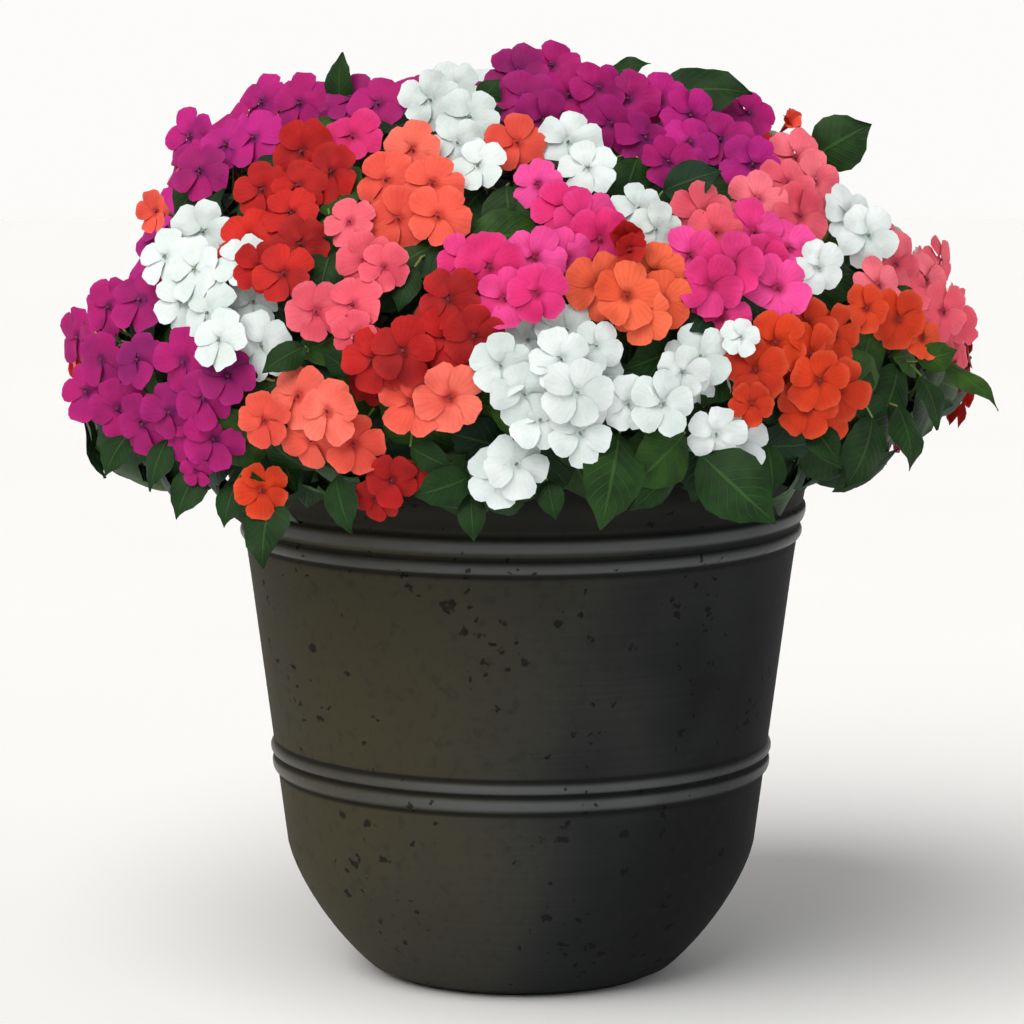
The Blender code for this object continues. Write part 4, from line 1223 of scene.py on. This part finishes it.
for name, flowers in flower_lists.items():
    seen = len(SEEN_ALL.get(name.removeprefix("blooms_"), ()))
    moved = [(flower[0] + settled(flower[0]), *flower[1:]) for flower in flowers[seen:]]
    flower_lists[name] = flowers[:seen] + moved
print("flowers in all:", sum(len(flowers) for flowers in flower_lists.values()))

# %% [markdown]
# ## Petal finishes
#
# Each seed strain has one colour. On the plant that colour is deeper towards the heart and in the veins,
# paler at the rim, and a little different from flower to flower. The face is finely crinkled and almost
# matte, and a little light passes through it. Seven finishes could be built by hand, but they differ in
# their colours alone, so one recipe makes them all. Colours are written as they look on a screen, from
# 0 to 255, and turned into light.

# %% Petal colours
# Each strain: the colour of the face, of the pale rim, and of the deep heart and veins.
STRAINS = {
    "white": ((218, 224, 223), (232, 236, 236), (190, 203, 198)),
    "magenta": ((164, 10, 100), (192, 26, 132), (90, 4, 78)),
    "hot_pink": ((214, 34, 108), (238, 76, 156), (160, 12, 68)),
    "rose": ((224, 82, 100), (246, 120, 134), (184, 40, 66)),
    "coral": ((229, 84, 66), (244, 116, 98), (186, 38, 30)),
    "orange": ((208, 54, 10), (240, 106, 72), (150, 24, 4)),
    "red": ((176, 14, 12), (206, 36, 24), (106, 4, 6)),
}


def light_of(colour):
    """A screen colour as an amount of light."""
    shares = [value / 255 for value in colour]
    return tuple(s / 12.92 if s <= 0.04045 else ((s + 0.055) / 1.055) ** 2.4 for s in shares)


VEINS = 19.0
VEIN_MIDDLE = 0.15


def petal_finish(name, face, pale, deep):
    """The finish of one strain's petals, from its three screen colours."""
    face, pale, deep = light_of(face), light_of(pale), light_of(deep)
    thin = {"Subsurface_Weight": 0.10, "Subsurface_Scale": 0.003}
    finish = Finish("petal_" + name, Roughness=0.7, Specular_IOR_Level=0.25, **thin)
    across, along, tint = finish.grain()
    # Pale and deep flowers, then blotches, then the paler rim.
    colour = finish.mix(finish.between(tint, 0.45, 1.0, 0.0, 0.85), face, pale)
    colour = finish.mix(finish.between(tint, 0.40, 0.0, 0.0, 0.40), colour, deep)
    colour = finish.mix(finish.between(finish.cloud(26.0, 2.0), 0.42, 0.72, 0.0, 0.5), colour, deep)
    colour = finish.mix(finish.between(along, 0.70, 1.10, 0.0, 0.35), colour, pale)
    # Veins fan out from the heart, and the heart itself is deep.
    fan = finish.math("DIVIDE", across, finish.math("ADD", along, VEIN_MIDDLE))
    fan = finish.math("SINE", finish.math("MULTIPLY", fan, VEINS))
    faint = finish.between(along, 0.2, 0.5, 0.0, 0.12)
    veins = finish.math("MULTIPLY", finish.between(fan, 0.55, 1.0), faint)
    colour = finish.mix(veins, colour, deep)
    finish.colour(finish.mix(finish.between(along, 0.34, 0.10, 0.0, 0.75), colour, deep))
    crinkle = finish.cloud(330.0, 2.0)
    finish.relief(finish.math("SUBTRACT", crinkle, finish.math("MULTIPLY", veins, 1.5)), 0.0006, 0.5)
    return finish.material


petal_finishes = {name: petal_finish(name, *colours) for name, colours in STRAINS.items()}
print("petal finishes:", ", ".join(petal_finishes))

# %% [markdown]
# The eye is a dense little cap of stamens: greyish green in a white flower, and dark in all the others.
# Stems and stalks are juicy and smooth, from light green to a reddish blush where the sun reaches them.

# %% Eye and stalk colours
def eye_finish(name, low, high):
    """The finish of an eye: fine dots of two colours."""
    finish = Finish(name, Roughness=0.6)
    dots = finish.cloud(900.0, 2.0)
    finish.colour(finish.mix(finish.between(dots, 0.4, 0.6), light_of(low), light_of(high)))
    finish.relief(dots, 0.0003)
    return finish.material


eye_grey = eye_finish("eye_grey", (84, 92, 96), (138, 146, 120))
eye_dark = eye_finish("eye_dark", (70, 10, 34), (120, 36, 60))

STALK_LIGHT = light_of((112, 146, 66))
STALK_DARK = light_of((88, 124, 52))
STALK_BLUSH = light_of((150, 96, 70))

stalk_green = Finish("stalk_green", Roughness=0.42)
_, _, tint = stalk_green.grain()
blush = stalk_green.mix(stalk_green.between(tint, 0.5, 1.0, 0.0, 0.7), STALK_LIGHT, STALK_BLUSH)
shade = stalk_green.between(stalk_green.cloud(90.0), 0.4, 0.7)
stalk_green.colour(stalk_green.mix(shade, blush, STALK_DARK))
stalk_green.relief(stalk_green.cloud(500.0, 2.0), 0.0003)
print("stalk finish:", len(stalk_green.tree.nodes), "nodes")

# %% [markdown]
# ## Leaves
#
# The leaves are oval with a drawn-out tip, mostly 5 to 8 cm long, folded a little along the midrib and
# arched over their length. The edge is finely scalloped. As with the petals, a few forms are bent once
# and then laid out many times. A flat plane with modifiers would bend as well, but a grid of points
# moved by sums keeps the midrib, the edge and the grain on the same points. Each leaf is a thin closed
# shape, sharp at its edge.

# %% Leaf forms
LEAF_ARCH = 0.32
LEAF_BELLY = 0.8
LEAF_FULLNESS = 0.85
LEAF_THICK = 0.008
LEAF_CUP = 0.10
FOLD_RISE = 0.34
TIP_FROM = 0.8
TIP_DRAWN = 0.35
DROOP_FROM = 0.6
LEAF_BASE = 0.03
RIPPLES = 9.0
SCALLOP = 0.018


def leaf_form(seed, rows, columns):
    """A leaf of length 1 and half width 1 along +X, with its face up: points, faces and grain."""
    rng = random.Random(seed)
    fold, wave, phase = rng.uniform(0.10, 0.30), rng.uniform(0.02, 0.05), rng.uniform(0.0, math.tau)
    droop = rng.uniform(0.05, 0.30)
    swing = rng.uniform(-0.10, 0.10)
    along = np.repeat(np.linspace(0.0, 1.0, rows), columns)
    across = np.tile(np.linspace(-1.0, 1.0, columns), rows)
    row = np.repeat(np.arange(rows), columns)
    half = np.sin(math.pi * along**LEAF_BELLY) ** LEAF_FULLNESS
    tip = np.clip((along - TIP_FROM) / 0.2, 0.0, 1.0)
    half = np.maximum(half * (1.0 - TIP_DRAWN * tip * (1 - tip) * 4), LEAF_BASE * (1.0 - along))
    at_edge = np.abs(across) > 0.99
    half = half * (1.0 + SCALLOP * np.where(at_edge, np.where(row % 2, 1.0, -1.0), 0.0))
    y = half * across
    ripple = wave * across**2 * np.sin(RIPPLES * along + phase + 1.3 * (across > 0))
    sag = droop * np.clip(along - DROOP_FROM, 0, 1) ** 2
    z = LEAF_ARCH * along * (1.0 - along) + fold * FOLD_RISE * np.abs(y) - LEAF_CUP * y**2 + ripple - sag
    top = np.stack((along, y + swing * along * (1.0 - along), z), 1)
    # The underside shares the leaf's edge, so the leaf is closed and sharp there.
    inside = (row > 0) & (row < rows - 1) & ~at_edge
    under = top[inside] - (0.0, 0.0, LEAF_THICK)
    upper = np.arange(len(top)).reshape(rows, columns)
    lower = upper.copy()
    lower.ravel()[inside] = len(top) + np.arange(len(under))
    faces = []
    for sheet, step in ((upper, 1), (lower, -1)):
        quads = np.stack((sheet[:-1, :-1], sheet[1:, :-1], sheet[1:, 1:], sheet[:-1, 1:]), -1).reshape(-1, 4)
        faces.append(quads[:, ::-step])
    points = np.concatenate((top, under))
    grain_top = np.stack((across, along, 0 * along), 1)
    return points, [np.concatenate(faces)], np.concatenate((grain_top, grain_top[inside]))


outer_leaf_forms = [leaf_form(seed, 13, 7) for seed in range(10)]
inner_leaf_forms = [leaf_form(seed, 7, 5) for seed in range(4)]
for forms in (outer_leaf_forms, inner_leaf_forms):
    print("leaf:", len(forms[0][0]), "points,", 2 * len(forms[0][1][0]), "triangles")

# %% [markdown]
# A form is laid by three things: where the leaf starts, where its tip is, and which way its face looks.
# The form's own axes are turned onto those, and its length and width follow.

# %% Lay one leaf
LEAF, STEM = 0, 1


def lay_leaf(heap, base, tip, face, share, form, tint):
    """Lays a leaf from its base to its tip. Share is its half width over its length."""
    along = (tip - base).normalized()
    across = along.cross(face).normalized()
    axes = np.array(Matrix((along, -across, across.cross(along))))
    length = (tip - base).length
    points, faces, grain = form
    placed = (points * (1.0, share, 1.0)) @ axes * length + np.array(base)
    grain = grain.copy()
    grain[:, 2] = tint
    heap.lay(placed, faces, grain, LEAF)


trial = Heap()
lay_leaf(trial, Vector(), Vector((0.07, 0, 0)), Vector((0, 0, 1)), 0.34, outer_leaf_forms[0], 0.5)
print("one leaf:", trial.count, "points,", len(trial.faces), "faces")

# %% [markdown]
# The leaf finish reads the grain: the midrib runs where across is 0, and the side veins leave it at an
# angle towards the tip. They could be drawn on a picture of a leaf, but then each leaf form would need
# to be unwrapped to fit it. Young leaves are yellower, old ones dark and bluish. Between the veins the
# leaf is quilted, which the relief gives without any more points.

# %% Leaf finish
MIDDLE_GREEN = light_of((24, 54, 17))
YOUNG_GREEN = light_of((52, 86, 24))
OLD_GREEN = light_of((18, 46, 28))
SHADED_GREEN = light_of((9, 26, 9))
VEIN_GREEN = light_of((84, 122, 60))
SIDE_VEINS = 9.0
VEIN_SLANT = 2.6

leaf_green = Finish("leaf_green", Roughness=0.55, Specular_IOR_Level=0.15)
across, along, tint = leaf_green.grain()
off = leaf_green.math("ABSOLUTE", across)
slant = leaf_green.math("MULTIPLY", off, VEIN_SLANT)
ladder = leaf_green.math("SUBTRACT", leaf_green.math("MULTIPLY", along, SIDE_VEINS), slant)
rung = leaf_green.math("ABSOLUTE", leaf_green.math("SUBTRACT", leaf_green.math("FRACT", ladder), 0.5))
side_veins = leaf_green.between(rung, 0.12, 0.02)
side_veins = leaf_green.math("MULTIPLY", side_veins, leaf_green.between(off, 0.95, 0.6))
midrib = leaf_green.between(off, 0.09, 0.03)
veins = leaf_green.math("MAXIMUM", midrib, leaf_green.math("MULTIPLY", side_veins, 0.7))
green = leaf_green.mix(leaf_green.between(tint, 0.45, 1.0), MIDDLE_GREEN, YOUNG_GREEN)
green = leaf_green.mix(leaf_green.between(tint, 0.4, 0.0), green, OLD_GREEN)
green = leaf_green.mix(leaf_green.between(leaf_green.cloud(60.0), 0.35, 0.7, 0.0, 0.6), green, SHADED_GREEN)
leaf_green.colour(leaf_green.mix(leaf_green.math("MULTIPLY", veins, 0.20), green, VEIN_GREEN))
quilt = leaf_green.math("SUBTRACT", leaf_green.math("MULTIPLY", leaf_green.cloud(210.0, 2.0), 0.4), veins)
leaf_green.relief(quilt, 0.0007, 0.8)
print("leaf finish:", len(leaf_green.tree.nodes), "nodes")

# %% [markdown]
# ## The plants
#
# Eight young plants were set in the pot, one in the middle and seven round it. Impatiens branches from
# the ground, so many fleshy stems fan out from each foot and end just under the dome. They could be
# grown by a rule that forks again and again, but only their ends matter to the eye. So points spread
# evenly over the dome are shared out among the plants, and each point gets a stem from its own foot.

# %% Stems
RING_PLANTS = ("front", "front_right", "right", "back_right", "back_left", "left", "front_left")
FOOT_CIRCLE = 0.150
FOOT_SCATTER = 0.010
FOOT_DEPTH = 0.012
CORE_CIRCLE = 0.188
STEMS = 150
LOWEST_STEM = -0.42
STEM_DEPTH = 0.034
STEM_STEPS = 9
BARE_STEPS = 3

ways_out = {"leafy_plant_middle": Vector()}
for i, name in enumerate(RING_PLANTS):
    angle = -math.pi / 2 + math.tau * i / len(RING_PLANTS)
    ways_out["leafy_plant_" + name] = Vector((math.cos(angle), math.sin(angle), 0.0))
assert sorted(ways_out) == plants

stem_paths = []
rng = random.Random(11)
for goal in spread(STEMS, LOWEST_STEM):
    level = Vector((goal.x, goal.y, 0.0))
    owner = min(ways_out, key=lambda plant: (level - ways_out[plant] * CORE_CIRCLE).length)
    scatter = [rng.uniform(-FOOT_SCATTER, FOOT_SCATTER) for _ in range(2)]
    foot = ways_out[owner] * FOOT_CIRCLE + Vector((*scatter, SOIL_EDGE - FOOT_DEPTH))
    normal = dome_normal(goal)
    end = goal + settled(goal) - normal * STEM_DEPTH
    rise = Vector((0.0, 0.0, max(0.09, 0.17 - 0.4 * max(0.0, goal.z - 0.4))))
    stem_paths.append((owner, bent_path(foot, end, rise, normal * 0.06, STEM_STEPS)))

stem_points = [(owner, Vector(point)) for owner, path in stem_paths for point in path[BARE_STEPS:]]
stem_tree = KDTree(len(stem_points))
for i, (_, point) in enumerate(stem_points):
    stem_tree.insert(point, i)
stem_tree.balance()
print("stems:", len(stem_paths), "with", len(stem_points), "points to grow from")

# %% [markdown]
# ## Where the leaves are
#
# A few dozen leaves show past the flowers in the picture, and each of those has its own line here: the
# pixel of its base, the pixel of its tip, its half width over its length and, where the picture tells,
# its tint. A line is quick to move when a leaf sits wrong, which a leaf placed by hand in the view isn't.

# %% Leaves that the picture shows
SEEN_LEAVES = (
    ((338, 100), (342, 52), 0.30),
    ((658, 88), (752, 92), 0.34, 0.5),
    ((605, 70), (650, 62), 0.30),
    ((818, 150), (872, 124), 0.44, 0.6),
    ((948, 362), (1000, 408), 0.20, 1.0),
    ((926, 360), (958, 350), 0.40, 1.0),
    ((506, 178), (514, 246), 0.44, 0.6),
    ((478, 100), (500, 78), 0.42),
    ((640, 150), (622, 204), 0.40, 0.6),
    ((666, 184), (722, 170), 0.36, 0.1),
    ((246, 168), (282, 156), 0.34, 0.0),
    ((326, 208), (338, 280), 0.26, 0.95),
    ((412, 262), (398, 312), 0.30),
    ((300, 345), (262, 372), 0.32),
    ((352, 372), (322, 352), 0.36),
    ((126, 432), (104, 478), 0.36),
    ((162, 440), (150, 492), 0.30),
    ((196, 468), (176, 520), 0.34),
    ((268, 500), (262, 568), 0.34),
    ((332, 482), (352, 535), 0.30),
    ((408, 450), (452, 468), 0.34),
    ((470, 482), (412, 496), 0.34),
    ((470, 500), (474, 542), 0.30),
    ((622, 436), (601, 530), 0.32, 0.6),
    ((688, 436), (628, 488), 0.38, 0.7),
    ((680, 466), (630, 512), 0.26),
    ((704, 458), (776, 524), 0.34),
    ((772, 448), (772, 496), 0.34),
    ((818, 428), (838, 462), 0.40),
    ((862, 402), (872, 372), 0.36),
    ((880, 420), (846, 488), 0.40),
    ((906, 408), (912, 470), 0.36),
    ((930, 376), (938, 430), 0.34),
    ((872, 470), (832, 492), 0.34),
    ((548, 486), (556, 520), 0.34),
    ((232, 486), (224, 528), 0.34),
)
print("leaves in the picture:", len(SEEN_LEAVES))

# %% [markdown]
# A leaf's base sits just under the dome, where its stalk can reach it. Its tip is on the line through
# the tip's own pixel, and a little nearer the eye than the base, because leaves droop outwards.

# %% Set them under the dome
SEEN_DEPTH = 0.007
LEAF_LEAN = 0.2


def seen_leaf(base_pixel, tip_pixel, share, tint=0.4):
    """A leaf from one pixel to another: its base just under the dome, its tip a little nearer the eye."""
    surface = on_dome(*base_pixel)
    base = surface - dome_normal(surface) * SEEN_DEPTH
    way = sight(*tip_pixel)
    flat_length = math.dist(base_pixel, tip_pixel) * PIXEL
    depth = (base - EYE).dot(view_way) - LEAF_LEAN * flat_length
    tip = EYE + way * (depth / way.dot(view_way))
    return base, tip, facing_out(surface), share, outer_leaf_forms, tint


leaves = [seen_leaf(*line) for line in SEEN_LEAVES]
print("longest of them:", round(max((tip - base).length for base, tip, *_ in leaves), 3), "m")

# %% [markdown]
# The rest fill three layers under the flowers. The outer layer is what shows between them, and the
# inner ones close the bush, so that no side of it can be looked through. They lie roughly along the
# dome with their tips a little out and down, as leaves do that turn to the light. None of these may
# touch the pot's lip.

# %% Leaves in layers
# Each layer: how many leaves, its least and most depth, its shortest and longest leaf, and its forms.
LEAF_LAYERS = (
    (430, 0.014, 0.026, 0.050, 0.068, outer_leaf_forms),
    (350, 0.030, 0.046, 0.055, 0.072, inner_leaf_forms),
    (230, 0.060, 0.085, 0.060, 0.078, inner_leaf_forms),
)
LOWEST_LEAF = -0.60
LEAF_SHARES = (0.30, 0.38)
FACE_STRAY = 0.35
LEAF_DROOP = 0.35
LIP_CLEARANCE = 0.006
SKIRT = 0.366


def clear_of_pot(points):
    """Whether every point is above the skirt, and above the lip or outside it."""
    for point in points:
        if point.z < SKIRT:
            return False
        if point.z < LIP_HEIGHT + LIP_CLEARANCE and math.hypot(point.x, point.y) < LIP_RADIUS + LIP_CLEARANCE:
            return False
    return True


rng = random.Random(23)
for count, shallow, deep, short, long, forms in LEAF_LAYERS:
    for surface in spread(count, LOWEST_LEAF):
        normal = dome_normal(surface)
        middle = surface + settled(surface) - normal * rng.uniform(shallow, deep)
        stray = Vector([rng.gauss(0.0, 1.0) for _ in range(3)])
        heading = stray - normal * stray.dot(normal)
        outward = normal * rng.uniform(0.05, 0.4)
        heading = (heading.normalized() + outward - Vector((0.0, 0.0, LEAF_DROOP))).normalized()
        length = rng.uniform(short, long)
        base, tip = middle - heading * length * 0.5, middle + heading * length * 0.5
        face = normal + Vector([rng.uniform(-FACE_STRAY, FACE_STRAY) for _ in range(3)])
        if clear_of_pot((base, middle, tip)) and not any(too_low(point) for point in (base, middle, tip)):
            leaves.append((base, tip, face, rng.uniform(*LEAF_SHARES), forms, rng.random()))
print("leaves in all:", len(leaves))

# %% [markdown]
# A leaf belongs to the plant whose stem is nearest behind its base, and a stalk joins it to that stem.
# A tree of points finds the nearest one quickly among a thousand. Then each plant's stems, stalks and
# leaves go on one heap, which takes the place of the plain solid plant.

# %% Lay each plant
STEM_THICK = 0.0046
STEM_THIN = 0.0019
LEAF_STALK = 0.0011
STALK_REACH = 0.015

leaf_owners = {plant: [] for plant in plants}
for leaf in leaves:
    _, index, _ = stem_tree.find(leaf[0] - dome_normal(leaf[0]) * STALK_REACH)
    owner, joint = stem_points[index]
    leaf_owners[owner].append((leaf, joint))

rng = random.Random(31)
for plant in plants:
    heap = Heap()
    for owner, path in stem_paths:
        if owner == plant:
            heap.lay(*rod(path, STEM_THICK, STEM_THIN, 7, rng.random()), STEM)
    for (base, tip, face, share, forms, tint), joint in leaf_owners[plant]:
        way = (tip - base).normalized()
        stalk = bent_path(joint, base, (base - joint) * 0.35 + Vector((0, 0, 0.004)), way * 0.010, 3)
        heap.lay(*rod(stalk, LEAF_STALK * 1.2, LEAF_STALK * 0.8, 4, rng.random()), STEM)
        lay_leaf(heap, base, tip, face, share, rng.choice(forms), tint)
    name = plant.replace("leafy_plant", "impatiens_plant")
    piece = as_piece(heap.make(name, [leaf_green.material, stalk_green.material]), "foliage", plant)
    print(name, len(leaf_owners[plant]), "leaves,", triangles_of(piece), "triangles")

# %% [markdown]
# ## The heads of flowers
#
# Where two flowers would overlap at one depth, the later one is laid a little higher or lower, as they
# push past one another on the plant. A physics run could settle them instead, but trying a few heights
# in turn is quick and gives the same bush each time.

# %% Keep the flowers apart
LIFTS = (0.0, -0.005, 0.005, -0.010, 0.009, -0.015, 0.013, -0.020)
LIFT_STEP = 0.0044
TOUCH = 0.80
placed_flowers = []


def lifted(place, facing, radius, fold):
    """Moves a flower along the way it faces, so that it isn't at one depth with any that it overlaps."""
    for lift in LIFTS:
        spot = place + facing * lift
        near = [spot - at for at, reach in placed_flowers if (spot - at).length < TOUCH * (radius + reach)]
        if all(abs(way.dot(facing)) > LIFT_STEP for way in near):
            break
    placed_flowers.append((spot, radius))
    return spot, facing, radius, fold


print("a flower has", len(LIFTS), "heights to try, from", min(LIFTS), "to", max(LIFTS), "m")

# %% [markdown]
# Each head's flowers share a hub a few centimetres under the dome, and a stem joins the hub to the
# nearest stem of a plant. Flowers of one plant are alike, so some heads keep to the paler or the deeper
# end of their colour, as in the picture. On the two magenta heads at the left the deeper end is painted
# shade.

# %% Lay each head
HUB_DEPTH = 0.046
HEAD_STEM = (0.0021, 0.0025)
# The least and most tint of some heads' flowers, from 0 for deep to 1 for pale. Others have any tint.
HEAD_TINTS_AND_SHADE = {
    "flowers_orange_middle_right": (0.80, 1.0),
    "flowers_hot_pink_right": (0.55, 1.0),
    "flowers_hot_pink_middle": (0.30, 1.0),
    "flowers_rose_upper_right": (0.45, 1.0),
    "flowers_rose_far_right": (0.30, 1.0),
    # Painted shade: the two magenta heads on the left keep to the deep end.
    "flowers_magenta_far_left": (0.0, 0.55),
    "flowers_magenta_lower_left": (0.0, 0.55),
    "flowers_orange_lower_right": (0.0, 0.40),
    "flowers_orange_fringe_left": (0.0, 0.40),
    "flowers_red_middle": (0.0, 0.60),
}


def lay_head(name, flowers, strain, seed):
    """One piece with all of a head's flowers, their stalks, the hub and its stem."""
    rng = random.Random(seed)
    flowers = [lifted(*flower) for flower in flowers]
    middle = middle_of([flower[0] for flower in flowers])
    hub = middle - dome_normal(middle) * HUB_DEPTH
    joint = stem_points[stem_tree.find(hub)[1]][1]
    heap = Heap()
    for flower in flowers:
        lay_flower(heap, flower, hub, rng, HEAD_TINTS_AND_SHADE.get(name, (0.0, 1.0)))
    stem = bent_path(joint, hub, Vector((0, 0, 0.008)), (hub - joint) * 0.3, 4)
    heap.lay(*rod(stem, *HEAD_STEM, 6, rng.random()), GREEN)
    eye = eye_grey if strain == "white" else eye_dark
    return heap.make(name, [petal_finishes[strain], stalk_green.material, eye])


head_pieces = []
for seed, (head, flowers) in enumerate(flower_lists.items()):
    if not flowers:
        continue
    strain = side_heads.get(head) or strain_of(head)
    name = f"flowers_{strain}_{head}" if head in side_heads else head.replace("blooms", "flowers")
    piece = lay_head(name, flowers, strain, seed)
    head_pieces.append(as_piece(piece, strain, *([head] if head in heads else [])))
print("heads:", len(head_pieces), "with", sum(triangles_of(piece) for piece in head_pieces), "triangles")

# %% [markdown]
# ## Floor and light
#
# The pot stands on a plain pale floor, wide enough to reach past the picture on every side. It is a
# stage and no part of the pot, and it lies a hair under the base, so that the two never flicker.

# %% Floor
FLOOR_SIZE = 14.0
FLOOR_DROP = 0.0005

bm = bmesh.new()
bmesh.ops.create_grid(bm, x_segments=1, y_segments=1, size=FLOOR_SIZE / 2)
floor_mesh = bpy.data.meshes.new("studio_floor")
bm.to_mesh(floor_mesh)
bm.free()
floor = bpy.data.objects.new("studio_floor", floor_mesh)
floor.location.z = -FLOOR_DROP
bpy.context.scene.collection.objects.link(floor)
pale = Finish("pale_floor", Roughness=0.8)
pale.colour(pale.mix(pale.cloud(1.5, 2.0), (0.90, 0.90, 0.90), (0.93, 0.93, 0.93)))
floor_mesh.materials.append(pale.material)
floor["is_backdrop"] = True
print("floor:", FLOOR_SIZE, "m wide")

# %% [markdown]
# The main light comes softly from above and to the left of the camera, as in the picture. A large
# square lamp would do, but it would fall off across the floor, so it is a sun lamp with a wide disc,
# which shines evenly and still casts soft shadows. A weak lamp fills the right side.

# %% Lamps
SUN_WAY = Vector((1.3, 1.9, -2.9))
SUN_DISC = math.radians(55)
FILL_PLACE = Vector((2.6, -1.8, 1.4))
FILL_AIM = Vector((0.0, 0.0, 0.35))


def add_lamp(name, kind, way, place=(0.0, 0.0, 0.0), **settings):
    """A lamp that shines along a way. Its settings are the ones that its kind of lamp has."""
    light = bpy.data.lights.new(name, kind)
    for key, value in settings.items():
        setattr(light, key, value)
    obj = bpy.data.objects.new(name, light)
    obj.location = place
    obj.rotation_euler = way.to_track_quat("-Z", "Y").to_euler()
    bpy.context.scene.collection.objects.link(obj)


key = {"energy": 2.8, "angle": SUN_DISC, "color": (1.0, 0.985, 0.955)}
add_lamp("key_lamp", "SUN", SUN_WAY, **key)
fill = {"energy": 7.0, "size": 2.0, "color": (0.90, 0.95, 1.0)}
add_lamp("fill_lamp", "AREA", FILL_AIM - FILL_PLACE, FILL_PLACE, **fill)
print("lamps:", [light.name for light in bpy.data.lights])

# %% [markdown]
# The air all round gives the shadows their light. It is brightest at the horizon, where it meets the
# floor, and darker higher up, so that the flowers keep their depth. A picture of a studio wrapped round
# the scene is the usual way, but a range from one strength to another does as well here.

# %% Surroundings
# The heights on the sky's globe between which it grows darker, and its strength at each of them.
HORIZON, HIGH_UP = 0.02, 0.40
HORIZON_LIGHT, SKY_LIGHT = 0.975, 0.36

world = bpy.data.worlds.new("studio_air")
world.use_nodes = True
nodes, links = world.node_tree.nodes, world.node_tree.links
where = nodes.new("ShaderNodeTexCoord").outputs["Generated"]
parts = nodes.new("ShaderNodeSeparateXYZ")
links.new(where, parts.inputs[0])
height = nodes.new("ShaderNodeMapRange")
for socket, value in enumerate((HORIZON, HIGH_UP, HORIZON_LIGHT, SKY_LIGHT), start=1):
    height.inputs[socket].default_value = value
links.new(parts.outputs[2], height.inputs[0])
links.new(height.outputs[0], nodes["Background"].inputs["Strength"])
nodes["Background"].inputs["Color"].default_value = (1.0, 0.992, 0.975, 1.0)
bpy.context.scene.world = world
bpy.context.scene.view_settings.view_transform = "Standard"
print("surroundings:", len(nodes), "nodes")

# %% [markdown]
# ## Measure and finish
#
# The dressed pot must be as big as the solids. Both boxes are measured and printed.

# %% Sizes
dressed_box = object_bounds()
sizes = {
    "solids": [list(corner) for corner in solid_box],
    "dressed": [list(corner) for corner in dressed_box],
}
for key, (low, high) in sizes.items():
    print(key, "box:", [round((b - a) * 1000) for a, b in zip(low, high)], "mm")
shown = [obj for obj in bpy.data.objects if obj.type == "MESH" and obj.visible_get()]
print("triangles:", sum(triangles_of(obj) for obj in shown))
